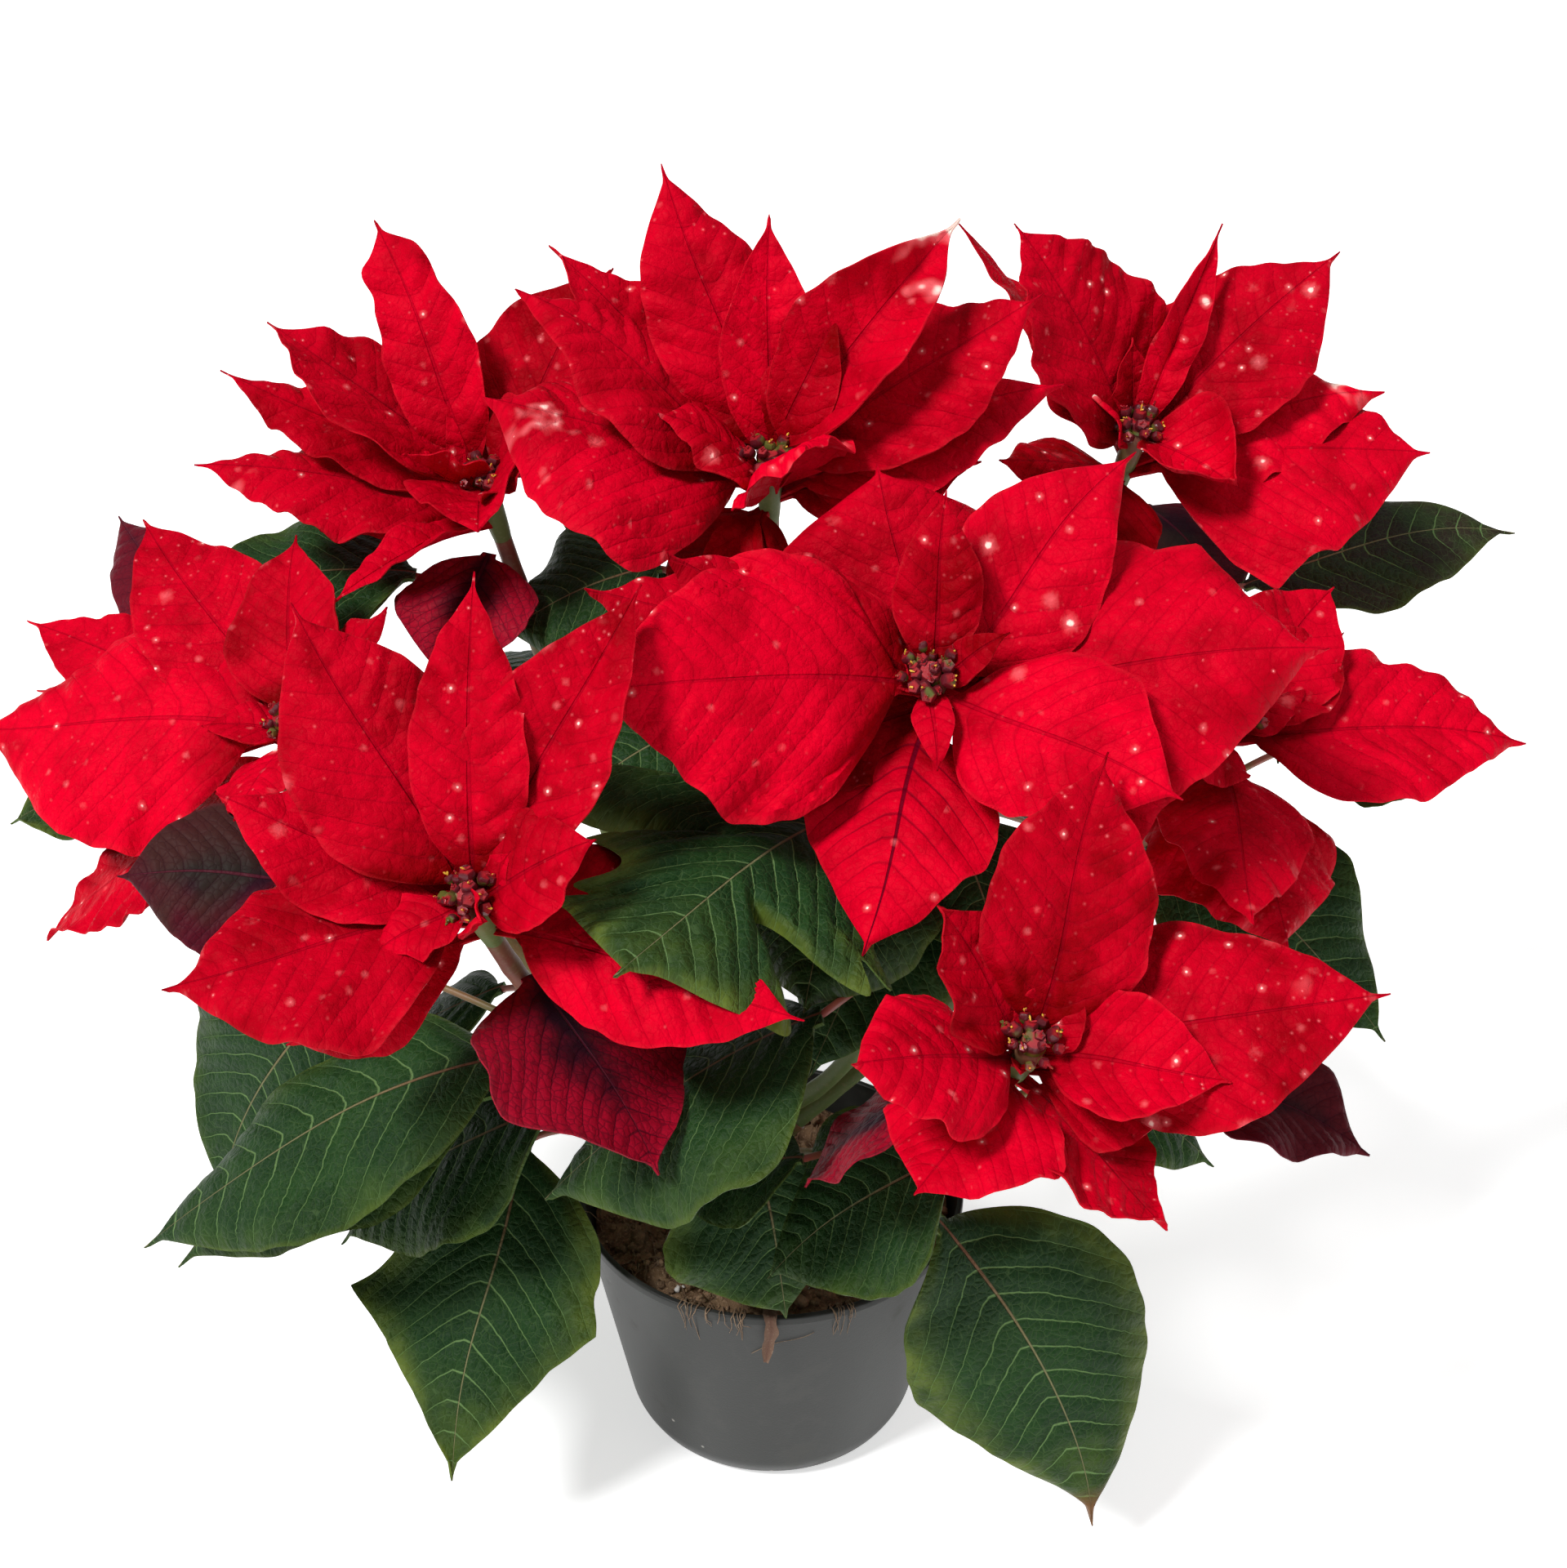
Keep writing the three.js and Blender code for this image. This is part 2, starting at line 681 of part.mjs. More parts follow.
// A dark leaf's stalk ends just short of its shoot's skin.
function makeDarkLeaf(shoot, row) {
  const curve = shootCurve(BLOOMS[shoot]);
  const whole = solid(leaf(curve, row, LEAF.darkDrop, LEAF.darkHighest));
  return largest(whole.subtract(solid(stem(curve, SHOOT.radius + GAP))));
}

function makeBracts(bloom) {
  const top = new THREE.Vector3(0, 0, 0);
  const bottom = new THREE.Vector3(0, 0, GAP - HUB.depth);
  const hub = rod(bottom, top, HUB.radius, HUB.radius, HUB.sides);
  return join([hub, ...bloom.bracts.map(bract)]);
}

// A cluster of buds: a low core with a ring of buds and one in the middle, each leaning outwards.
function makeCluster(index) {
  const core = rod(
    new THREE.Vector3(0, 0, GAP),
    new THREE.Vector3(0, 0, CLUSTER.coreHeight),
    HUB.radius,
    CLUSTER.coreRadius,
    HUB.sides,
  );
  const bud = (x, y, z, size) =>
    new THREE.OctahedronGeometry(1, 0)
      .scale(CLUSTER.budRadius * size, CLUSTER.budRadius * size, CLUSTER.budHeight * size)
      .translate(x, y, z);
  const buds = [bud(0, 0, CLUSTER.middleLift, 1)];
  for (let i = 0; i < CLUSTER.buds; i++) {
    const azimuth = (i * 360) / CLUSTER.buds + index * CLUSTER.turnEach;
    const spot = direction(azimuth, 0).multiplyScalar(CLUSTER.ring);
    const uneven = CLUSTER.unevenness * Math.sin(i * i + index);
    buds.push(bud(spot.x, spot.y, CLUSTER.lift + uneven, CLUSTER.ringBud));
  }
  return join([core, ...buds]);
}

place("pot", makePot(), POT_PLASTIC);
place("soil", makeSoil(), PEAT);
place("dry_strip", makeDryStrip(), STRAW);
place("trunk", makeTrunk(), WOOD);

Object.entries(BLOOMS).forEach(([name, bloom], index) => {
  place("shoot_" + name, makeShoot(name, bloom), GREEN);
  const bracts = place("bracts_" + name, makeBracts(bloom), RED);
  const cluster = place("cyathia_" + name, makeCluster(index), BUDS);
  for (const mesh of [bracts, cluster]) {
    mesh.position.set(...bloom.at);
    mesh.quaternion.copy(leanOf(bloom));
  }
});

for (const [name, shoot, ...row] of DARK_LEAVES) place("dark_leaf_" + name, makeDarkLeaf(shoot, row), DARK);

export default plant;
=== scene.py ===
"""A potted poinsettia: leafy shoots from one trunk, each with a bloom of red bracts round a bud cluster.

The sizes in the tables are millimetres and degrees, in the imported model's frame: +Z up, -Y the front, and the
origin at the centre of the pot's underside.
"""

import math

import bpy
import numpy as np
from bpy.props import FloatProperty, FloatVectorProperty, IntProperty, PointerProperty
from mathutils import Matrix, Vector


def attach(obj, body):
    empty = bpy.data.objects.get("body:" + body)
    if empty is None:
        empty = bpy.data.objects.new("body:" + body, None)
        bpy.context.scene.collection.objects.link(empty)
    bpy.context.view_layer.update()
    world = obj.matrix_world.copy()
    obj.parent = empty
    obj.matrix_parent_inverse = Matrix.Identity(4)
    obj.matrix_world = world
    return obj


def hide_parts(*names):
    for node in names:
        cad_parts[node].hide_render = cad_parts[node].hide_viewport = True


bl_info = {
    "name": "Potted poinsettia",
    "version": (1, 0, 0),
    "blender": (4, 5, 0),
    "location": "View3D > Sidebar > Poinsettia",
    "description": "Builds a potted poinsettia with its bracts, leaves, stems, buds, peat and pot",
    "category": "Add Mesh",
}

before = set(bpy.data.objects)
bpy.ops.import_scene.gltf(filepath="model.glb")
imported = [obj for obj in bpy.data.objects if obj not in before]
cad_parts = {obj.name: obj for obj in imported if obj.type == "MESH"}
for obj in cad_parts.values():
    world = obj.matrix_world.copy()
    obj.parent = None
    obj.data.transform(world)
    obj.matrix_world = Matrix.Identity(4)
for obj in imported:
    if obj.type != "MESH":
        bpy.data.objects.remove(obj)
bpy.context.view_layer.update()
MM = 0.001


# ---- The plant's tables ----
#
# How a blade looks unless its row says otherwise. Pairs are for its left and right half. Its fold and twist
# in degrees, its sway, curl, waves and tone are also given in a row, or else come from the operator and from
# chance. A tooth is (place along the blade, side, size), and a notch is (place, side, depth, reach).
LOOK = dict(
    blunt=0.0,  # a fuller tip
    strap=0.0,  # shoulders under the tip
    notches=(),
    sweep=(0.0, 0.0),  # how far a half leans forward
    wing=(0.0, 0.0),  # how far a half is lifted, in mm
    cup=0.0,  # both halves bent up
    curled=0.0,  # the margin turned down
    ruffle=1.0,  # a waving margin
    quilt=1.0,  # swellings between the side veins
    pleat=0.15,  # pleats, in mm
    crease=0.3,  # creases, in mm
    fine=1.15,  # how fine the mesh is
    share=1.0,  # how high up a small bract sits: 0 the lowest
    specks=1.0,  # how many cream specks
    cream=0.15,  # cream blotches near the tip
    age=0.15,  # how yellow a green leaf is, how red a dark one, how maroon a bract's veins
    dusk=0.0,  # a green leaf that turns dark
    dead=0.0,  # a dead brown tip
)


def bract(azimuth, length, lift, width, roll=8, teeth=(), **look):
    """A bract: where its tip points in its bloom's own frame, its size, and how it looks."""
    look = LOOK | dict(quilt=0.6, crease=1.3, fine=1.3, pleat=0.25) | look
    return dict(azimuth=azimuth, length=length, lift=lift, width=width, roll=roll, teeth=teeth, look=look)


def leaf(foot, tip, width, roll=0, teeth=(), **look):
    """A leaf: where its blade starts and ends, its width, its turn about the midrib, and how it looks."""
    return dict(foot=foot, tip=tip, width=width, roll=roll, teeth=teeth, look=LOOK | look)


# Each bloom: its centre, the way its face leans (azimuth, degrees off upright), the height where its
# shoot leaves the trunk, its number of buds, and its bracts from the lowest up. "small" lists the
# bractlets round the buds and the small bracts that fill in between.
# A high tone paints shade on a bract that lies below or behind others, such as the two that hang down at the
# front of back_middle.
BLOOMS = {
    "centre": dict(
        at=(45, -45, 310), lean=(260, 35), branch=120, buds=20,
        bracts=[
            bract(253, 80, 5, 54, age=1.0, curl=-0.03, specks=0.2, tone=0.3),
            bract(0, 110, 10, 82, teeth=((0.38, 1, 0.25), (0.68, -1, 0.2)), specks=0.5, tone=0.35,
                  waves=1.5, curl=-0.1),
            bract(100, 70, 20, 78, tone=0.5, curl=-0.12, blunt=0.6, specks=0.3, pleat=1.0),
            bract(45, 90, 15, 45, tone=0.25, fold=8),
            bract(165, 102, 18, 50, ruffle=1.3, tone=0.6, curl=-0.08, pleat=0.9, wing=(-6, 0)),
            bract(158, 85, 28, 40, ruffle=1.2, tone=0.7, pleat=0.9, wing=(-12, 0)),
            bract(325, 80, 10, 50, curl=-0.06, tone=0.1, teeth=((0.62, -1, 0.16),)),
            bract(187, 100, 22, 75, -12, curl=-0.11, tone=0.25, fold=-6, specks=0.5, pleat=1.7,
                  wing=(0, 11)),
            bract(80, 55, 35, 25, tone=0.75, quilt=1.6, pleat=0.5),
            bract(270, 30, 10, 12, tone=0.5),
        ],
        small=[
            bract(15, 30, 40, 12, tone=0.9), bract(200, 18, 55, 7, tone=0.9), bract(140, 20, 60, 8, tone=0.8),
            bract(199, 50, 2, 36, share=0.0, tone=1.0), bract(147, 40, 8, 38, share=0.0, tone=0.95),
            bract(44, 44, 8, 38, share=0.0, tone=0.95),
        ],
    ),
    "front_left": dict(
        at=(-80, -95, 270), lean=(250, 30), branch=100, buds=16,
        bracts=[
            bract(193, 72, -20, 36, tone=0.5, curl=-0.12),
            bract(338, 92, -6, 42, 0, curl=-0.05, specks=0.5),
            bract(10, 50, -10, 45, tone=0.9),
            bract(155, 80, 25, 40, ruffle=1.6, cream=0.5, tone=0.4),
            bract(197, 86, 18, 65, curl=-0.08, specks=1.2),
            bract(118, 98, 35, 55, teeth=((0.38, 1, 0.2),), cream=0.4, fold=2, specks=0.8, pleat=0.9),
            bract(48, 100, 30, 42, 16, cream=0.35, specks=1.4, fold=20, curl=-0.02),
            bract(78, 92, 40, 33, quilt=1.5, specks=1.3, crease=1.6, tone=0.5, sway=0.0, curl=-0.03),
            bract(5, 45, 30, 35, tone=0.55),
            bract(210, 30, 10, 20, teeth=((0.4, 1, 0.3), (0.6, -1, 0.25))),
        ],
        small=[
            bract(30, 25, 50, 15), bract(296, 36, 62, 15, 45, tone=0.1, fold=25),
            bract(150, 16, 60, 6, tone=0.9),
        ],
    ),
    "front_right": dict(
        at=(70, -120, 240), lean=(290, 30), branch=96, buds=15,
        bracts=[
            bract(317, 58, -2, 50, -30, curl=0.08),
            bract(235, 50, 5, 55, 30, curl=-0.05),
            bract(0, 50, 5, 45, tone=0.6),
            bract(10, 100, 20, 58, cream=0.3, specks=1.7, curl=-0.05),
            bract(200, 60, 25, 45, curl=-0.1, blunt=0.3),
            bract(350, 55, 20, 36, cup=0.25),
            bract(140, 50, 35, 40, tone=0.8),
            bract(82, 85, 40, 50, tone=0.7, curl=-0.05),
        ],
        small=[
            bract(60, 30, 45, 20, tone=0.7), bract(250, 18, 55, 7, tone=0.9), bract(150, 20, 50, 7, tone=0.9),
        ],
    ),
    "back_left": dict(
        at=(-90, 65, 320), lean=(240, 20), branch=112, buds=15,
        bracts=[
            bract(149, 100, -5, 40, cream=0.8, tone=0.6),
            bract(228, 68, 17, 20, fold=30, tone=0.35),
            bract(175, 95, 20, 45, cream=0.5, curl=-0.07, specks=1.2),
            bract(155, 98, 25, 35, tone=0.6),
            bract(50, 85, 30, 55, tone=0.75),
            bract(145, 90, 35, 48, 20, specks=1.2),
            bract(110, 95, 45, 30, -15, cream=0.4, strap=1.0, specks=0.8),
            bract(350, 40, 30, 40, cup=0.5, tone=0.6),
            bract(275, 36, 20, 40, cup=0.6, tone=0.4),
        ],
        small=[bract(110, 40, 55, 15), bract(205, 44, 62, 20, 30, fold=35, tone=0.4)],
    ),
    "back_middle": dict(
        at=(0, 35, 340), lean=(270, 20), branch=124, buds=12,
        bracts=[
            bract(215, 45, -25, 40, tone=1.0, specks=0.1, ruffle=1.5),
            bract(250, 40, -35, 30, tone=1.0, specks=0.1, fold=20),
            bract(5, 65, 10, 40, ruffle=1.8, tone=0.5),
            bract(15, 95, 15, 40, curl=-0.1, tone=0.3),
            bract(140, 100, 30, 40, tone=0.5),
            bract(175, 90, 20, 88, curl=-0.12, cream=0.62, tone=0.3, specks=1.1, fold=-4, pleat=0.4),
            bract(25, 100, 25, 50, tone=0.45),
            bract(155, 95, 30, 50, curl=-0.1, tone=0.55, quilt=1.4),
            bract(115, 100, 40, 44, -10, specks=0.9),
            bract(40, 95, 40, 35, cup=0.5, twist=45, cream=1.0, ruffle=1.8),
            bract(180, 42, 40, 34, tone=0.6, curl=-0.1),
            bract(90, 80, 50, 30, specks=1.4),
            bract(55, 60, 55, 25, tone=0.9),
            bract(295, 50, 60, 42, cream=0.45, cup=-0.35, tone=0.0, specks=1.4, blunt=0.5),
        ],
        small=[bract(200, 22, 50, 10, tone=0.8), bract(20, 20, 60, 8, tone=0.8)],
    ),
    "back_right": dict(
        at=(120, 105, 320), lean=(300, 20), branch=116, buds=15,
        bracts=[
            bract(190, 44, 5, 45, tone=1.0),
            bract(0, 100, 15, 90, teeth=((0.38, 1, 0.2),), fold=-4, curl=-0.05, tone=0.3, specks=0.7),
            bract(15, 90, 20, 45, cream=0.8, ruffle=2.2),
            bract(145, 95, 30, 30, tone=0.6, twist=30),
            bract(165, 65, 40, 45, tone=0.8, curl=-0.1),
            bract(40, 95, 35, 55, cream=0.4, specks=1.7),
            bract(150, 85, 45, 66, -5, specks=1.3, teeth=((0.7, -1, 0.15),)),
            bract(70, 80, 50, 18, twist=50, cream=0.6, fold=30),
            bract(320, 40, 10, 35, curl=0.25, twist=20),
        ],
        small=[
            bract(105, 40, 55, 20, tone=0.7), bract(178, 34, 48, 22, cream=1.5, twist=20),
            bract(262, 40, -22, 34, share=0.0, tone=1.0, specks=0.1),
        ],
    ),
    "left": dict(
        at=(-145, 0, 270), lean=(200, 30), branch=104, buds=10,
        bracts=[
            bract(185, 113, -4, 60, tone=0.4),
            bract(140, 130, 20, 45, tone=0.3),
            bract(115, 110, 30, 50, cream=0.4, specks=1.4, tone=0.35),
            bract(148, 118, 14, 50, specks=0.8),
            bract(320, 45, 20, 35, tone=0.7),
            bract(20, 50, 25, 35, tone=0.7),
            bract(255, 44, 15, 38, curl=-0.1, specks=1.3),
            bract(164, 114, 16, 80, -22, curl=-0.09, specks=0.6, tone=0.1, fold=-5),
            bract(170, 30, 30, 20, tone=0.5),
        ],
        small=[bract(75, 65, 30, 40, tone=0.6)],
    ),
    "right": dict(
        at=(142, 10, 268), lean=(330, 25), branch=108, buds=10,
        bracts=[
            bract(290, 72, -5, 65, 10, specks=1.3),
            bract(272, 80, 5, 50, tone=0.4),
            bract(8, 101, 17, 60, curl=-0.07, specks=0.8, tone=0.15, fold=12, quilt=1.5),
            bract(235, 50, 15, 35, tone=0.6),
            bract(190, 60, 25, 40, tone=0.5),
            bract(45, 50, 30, 35),
            bract(120, 50, 35, 35, tone=0.4),
        ],
        small=[bract(25, 30, 40, 20), bract(60, 60, 30, 40)],
    ),
}

# The green leaves of each shoot.
LEAVES = {
    "centre": [
        leaf((15, -80, 220), (-65, -90, 160), 85),
        leaf((30, -25, 255), (-40, -120, 260), 90, -20, ((0.38, -1, 0.3), (0.68, 1, 0.3)), fine=1.7,
             blunt=0.7, curled=0.9, age=0.85, quilt=1.8, fold=-10, sweep=(0.2, 0.6), notches=(
                 (0.55, -1, 0.76, 0.055), (0.92, -1, 0.5, 0.05), (0.4, -1, 0.25, 0.025), (0.2, 1, -0.9, 0.12),
                 (0.36, 1, 0.5, 0.04), (0.6, 1, 0.45, 0.12), (0.7, 1, 0.3, 0.03),
             )),
        # tone=0.9 on the next leaf is painted shade: it lies in shade under the lobed leaf.
        leaf((25, -15, 250), (10, -80, 220), 75, curled=0.8, tone=0.9),
        leaf((50, -15, 240), (12, -60, 182), 60),
        leaf((56, -22, 250), (66, -62, 222), 58),
        leaf((-15, 25, 260), (-60, -10, 245), 55, -20),
    ],
    "front_left": [
        leaf((-75, -60, 190), (-195, -60, 115), 65, -20),
        leaf((-130, -10, 185), (-185, -10, 90), 80, -55, ((0.38, -1, 0.25),)),
        leaf((-85, -45, 165), (-190, -50, 100), 55, -15),
        leaf((-65, -45, 160), (-140, -35, 95), 65, -20),
        leaf((-80, -20, 125), (-100, -90, 45), 68, 0, ((0.5, 1, 0.4), (0.5, -1, 0.2)), age=0.7),
    ],
    "front_right": [
        leaf((-5, -50, 145), (5, -70, 95), 70, age=0.35),
        leaf((10, -65, 155), (-30, -55, 130), 40, -10),
        leaf((55, -80, 170), (0, -80, 120), 65, -20),
        leaf((50, -75, 140), (105, -90, 25), 76, 60, age=0.8, dead=1.0),
    ],
    "back_left": [
        leaf((-115, 75, 282), (-195, 75, 270), 80, -8),
        leaf((-70, 100, 225), (-115, 185, 190), 70),
        leaf((-80, 70, 175), (-160, 120, 115), 75),
    ],
    "back_middle": [
        leaf((-35, 65, 290), (-85, 55, 270), 70, -20),
        leaf((-25, 95, 275), (-45, 75, 250), 45),
        leaf((-15, 90, 285), (-75, 115, 285), 50),
        leaf((0, 85, 215), (0, 185, 175), 75),
        leaf((25, 70, 165), (70, 155, 105), 75),
        leaf((-25, 70, 160), (-75, 150, 100), 75),
    ],
    "back_right": [
        leaf((165, 130, 250), (265, 155, 260), 54, 18, dusk=1.0),
        leaf((100, 130, 225), (110, 200, 190), 70),
        leaf((90, 95, 175), (155, 165, 115), 75),
        leaf((110, 80, 190), (195, 100, 140), 70),
    ],
    "left": [
        leaf((-185, 35, 235), (-245, 30, 215), 50, -20, age=0.6),
        leaf((-105, 30, 190), (-185, 45, 135), 70),
        leaf((-90, 30, 150), (-160, 40, 90), 60),
    ],
    "right": [
        leaf((120, 35, 215), (200, 0, 150), 76, 25),
        leaf((175, 55, 230), (230, 45, 230), 55, 20),
        leaf((165, 60, 270), (160, 25, 240), 30),
        leaf((120, 20, 190), (190, 50, 140), 70),
        leaf((85, -5, 150), (145, -20, 115), 55),
    ],
}

# The dark leaves just under the blooms: the shoot that each grows on, and the leaf.
DARK_LEAVES = {
    "front": ("front_left", leaf((-67, -75, 230), (-30, -120, 195), 80, -20, age=0.95)),
    "inner": ("front_right", leaf((45, -95, 205), (10, -95, 170), 50, 15, age=0.9)),
    "front_right": ("front_right", leaf((115, -85, 205), (170, -100, 185), 55, fold=15, age=0.25)),
    "back_left": ("back_left", leaf((-90, 71, 291), (-104, 40, 262), 50, age=0.9)),
    "left": ("left", leaf((-142, -44, 241), (-190, -42, 241), 46, -40)),
    "far_left": ("left", leaf((-185, 65, 250), (-235, 165, 260), 35, -20, age=0.3)),
    "back_right": ("back_right", leaf((135, 175, 260), (165, 135, 240), 68, 10)),
}

# The pot: "foot" holds the two corners of its rounded foot, and "lip" is the radius of its band, which
# stands proud of the wall.
POT = dict(height=90, base=48, foot=((42, 0), (46.5, 2.5)), foot_height=8, lip=65, lip_width=2.2, band=3,
           proud=0.6, wall=1.6, floor=2.4, holes=4, hole=3, hole_circle=29)
# The peat: its level, the height whose wall its surface reaches, how it heaps up, dips and waves, and
# what lies on it.
SOIL = dict(level=78, edge=72, heap=9, dip=3, grain=1.6, shoulder=10, white_grains=46, fibres=320,
            fibre_reach=58)
# Fine roots over the rim: between which azimuths, and how many.
HANGING_ROOTS = ((243, 264, 17), (284, 296, 9), (150, 200, 4))
# The shoots: how steeply they leave the trunk, how straight they run at both ends, their stub and their hub.
STEM = dict(radius=2.9, rise=44, leave=0.4, arrive=0.35, stub=12, hub=25)
TRUNK = dict(foot=56, top=127, foot_radius=5.2, top_radius=3.6)
# The dry strip's middle line: x, how far beyond the rim, and how high above it.
STRIP = ((0, -12, 1.8), (0, -5, 1.2), (0, 0.5, 1.1), (0.6, 1.6, -3.5), (-0.6, 0.9, -9.5), (-1.4, 1.3, -17))
# The gap between pieces, and the least width of a blade's lower and upper half.
GAP = 0.3
FOOT_WIDTH, TIP_WIDTH = 2.4, 0.35


# ---- Settings that a user may change ----


class PoinsettiaSizes(bpy.types.PropertyGroup):
    bract_thickness: FloatProperty(
        name="Bract thickness", description="Thickness of a bract", default=0.00045, min=0.0001,
        unit="LENGTH")
    leaf_thickness: FloatProperty(
        name="Leaf thickness", description="Thickness of a leaf", default=0.0005, min=0.0001, unit="LENGTH")
    quilting: FloatProperty(
        name="Quilting", description="Height of the swelling between side veins", default=0.0009, min=0,
        unit="LENGTH")
    ruffle: FloatProperty(
        name="Ruffle", description="How far a margin waves up and down, as a share of the width",
        default=0.035, min=0, subtype="FACTOR")
    pot_sides: IntProperty(name="Pot sides", description="Faces round the pot", default=144, min=24)
    crumbs: IntProperty(name="Crumbs", description="Loose crumbs on the peat", default=900, min=0)


class PoinsettiaColours(bpy.types.PropertyGroup):
    def colour(name, description, value):
        return FloatVectorProperty(
            name=name, description=description, default=value, subtype="COLOR", min=0, max=1)

    bract: colour("Bract", "A bract in the light", (0.76, 0.0, 0.02))
    # The deep colour is also painted shade: a high tone darkens a whole bract that lies in shade.
    bract_deep_and_shade: colour("Deep bract", "A bract near its foot and in its folds", (0.18, 0.0, 0.001))
    leaf: colour("Leaf", "A green leaf", (0.0085, 0.034, 0.0085))
    leaf_margin: colour("Leaf margin", "The margin and tip of an older leaf", (0.13, 0.17, 0.022))
    leaf_vein: colour("Leaf vein", "The veins of a green leaf", (0.11, 0.19, 0.065))
    dark: colour("Dark leaf", "A leaf that is turning, along its midrib", (0.02, 0.006, 0.012))
    dark_red: colour("Dark leaf's red", "A leaf that is turning, towards its margin", (0.38, 0.004, 0.022))
    pot: colour("Pot", "The pot's plastic", (0.023, 0.0245, 0.0225))
    peat: colour("Peat", "The peat", (0.13, 0.08, 0.046))
    floor: colour("Floor", "The surface that the pot stands on", (0.9, 0.9, 0.9))

    del colour


# ---- Surfaces ----


def direction(azimuth, rise):
    """The unit vector at an azimuth and a rise above the level, in degrees."""
    a, r = math.radians(azimuth), math.radians(rise)
    return np.array([math.cos(r) * math.cos(a), math.cos(r) * math.sin(a), math.sin(r)])


def unit(vectors):
    """The vectors at length 1."""
    return vectors / np.maximum(np.linalg.norm(vectors, axis=-1, keepdims=True), 1e-12)


def turn_matrix(axis, degrees):
    """The rotation by degrees about an axis, after Rodrigues."""
    x, y, z = unit(np.asarray(axis, float))
    cross = np.array([[0, -z, y], [z, 0, -x], [-y, x, 0]])
    angle = math.radians(degrees)
    return np.eye(3) + math.sin(angle) * cross + (1 - math.cos(angle)) * cross @ cross


def outline(x, blunt, strap):
    """Half width as a share of the widest. The body is t^0.75 (1-t)^p over its own maximum, with t = x /
    0.95, and p falls from 1.05 as the blade gets blunter; a hair-fine tip goes on beyond it. A strap has
    shoulders under its tip."""
    power = 1.05 - 0.4 * blunt
    widest = 0.75 / (0.75 + power)
    t = np.clip(x / 0.95, 0, 1)
    body = t**0.75 * (1 - t) ** power / (widest**0.75 * (1 - widest) ** power)
    body = body + 0.3 * strap * np.exp(-(((x - 0.83) / 0.09) ** 2))
    return np.hypot(body, 0.09 * np.clip((1 - x) / 0.15, 0, 1) ** 1.2)


MAPS = ("veins", "skin")
VALUES = ("seed", "tone", "specks", "cream", "under", "along", "age", "special", "dusk")


class Skin:
    """Grids of points gathered into one mesh, with their maps and values."""

    def __init__(self):
        self.points, self.faces, self.kinds, self.values, self.count = [], [], [], {}, 0

    def add(self, points, faces, kind=0, **values):
        """Adds a grid. kind is its material's place in the mesh's list; a value not given is 0."""
        points = points.reshape(-1, 3)
        count = len(points)
        self.points.append(points)
        self.faces.append(faces + self.count)
        self.kinds.append(np.full(len(faces), kind))
        for name in MAPS:
            self.values.setdefault(name, []).append(values.get(name, np.zeros((count, 2))).reshape(-1, 2))
        for name in VALUES:
            value = np.asarray(values.get(name, 0.0), float)
            value = value.reshape(-1) if value.size == count else np.full(count, float(value))
            self.values.setdefault(name, []).append(value)
        self.count += count

    def build(self, name, looks=(), sharp=50):
        """The mesh object: foreach_set puts the joined grids into it, in metres."""
        points = np.concatenate(self.points) * MM
        quads = np.concatenate(self.faces)
        mesh = bpy.data.meshes.new(name)
        mesh.vertices.add(len(points))
        mesh.vertices.foreach_set("co", points.astype(np.float32).ravel())
        mesh.loops.add(quads.size)
        mesh.loops.foreach_set("vertex_index", quads.astype(np.int32).ravel())
        mesh.polygons.add(len(quads))
        mesh.polygons.foreach_set("loop_start", np.arange(0, quads.size, 4, dtype=np.int32))
        mesh.polygons.foreach_set("material_index", np.concatenate(self.kinds).astype(np.int32))
        mesh.update(calc_edges=True)
        for key, parts in self.values.items():
            data = np.concatenate(parts)
            if data.ndim == 2:
                layer = mesh.uv_layers.new(name=key)
                layer.data.foreach_set("uv", data[quads.ravel()].astype(np.float32).ravel())
            elif np.any(data != 0):
                attribute = mesh.attributes.new(key, "FLOAT", "POINT")
                attribute.data.foreach_set("value", data.astype(np.float32))
        mesh.validate()
        mesh.shade_smooth()
        mesh.set_sharp_from_angle(angle=math.radians(sharp))
        for key in looks:
            mesh.materials.append(material(key))
        piece = bpy.data.objects.new(name, mesh)
        bpy.context.scene.collection.objects.link(piece)
        return piece


def ring_faces(rings, count):
    """Quads of a closed skin over rings of count points, both ends closed by strips across the ring."""
    i, j = np.meshgrid(np.arange(rings - 1), np.arange(count), indexing="ij")
    near, far, after = i * count, (i + 1) * count, (j + 1) % count
    sides = np.stack([near + j, near + after, far + after, far + j], -1).reshape(-1, 4)
    half = np.arange(count // 2 - 1)
    back = count - 1 - half
    foot = np.stack([half, back, back - 1, half + 1], -1)
    last = (rings - 1) * count
    tip = np.stack([last + half, last + half + 1, last + back - 1, last + back], -1)
    return np.concatenate([sides, foot, tip])


def half_width(side, x, width, least, row, rng):
    """The half width of a blade's one side: its outline, made uneven by three sines, with a pointed lobe
    at each tooth, less each notch's bell curve, and never less than the stalk's."""
    look = row["look"]
    lobes = sum(size * np.clip(1 - abs(x - at) / 0.13, 0, 1) ** 1.3
                for at, where, size in row["teeth"] if where == side)
    phase = rng.uniform(0, 2 * np.pi, 3)
    uneven = 1 + 0.035 * np.sin(7 * x + phase[0]) + 0.022 * np.sin(17 * x + phase[1])
    nicks = 0.009 * np.sin(53 * x + phase[2])
    shape = outline(x, look["blunt"], look["strap"]) * (uneven + nicks) + lobes
    for at, where, depth, reach in look["notches"]:
        if where == side:
            shape = shape * (1 - depth * np.exp(-(((x - at) / reach) ** 2)))
    return np.maximum(least, width / 2 * shape)


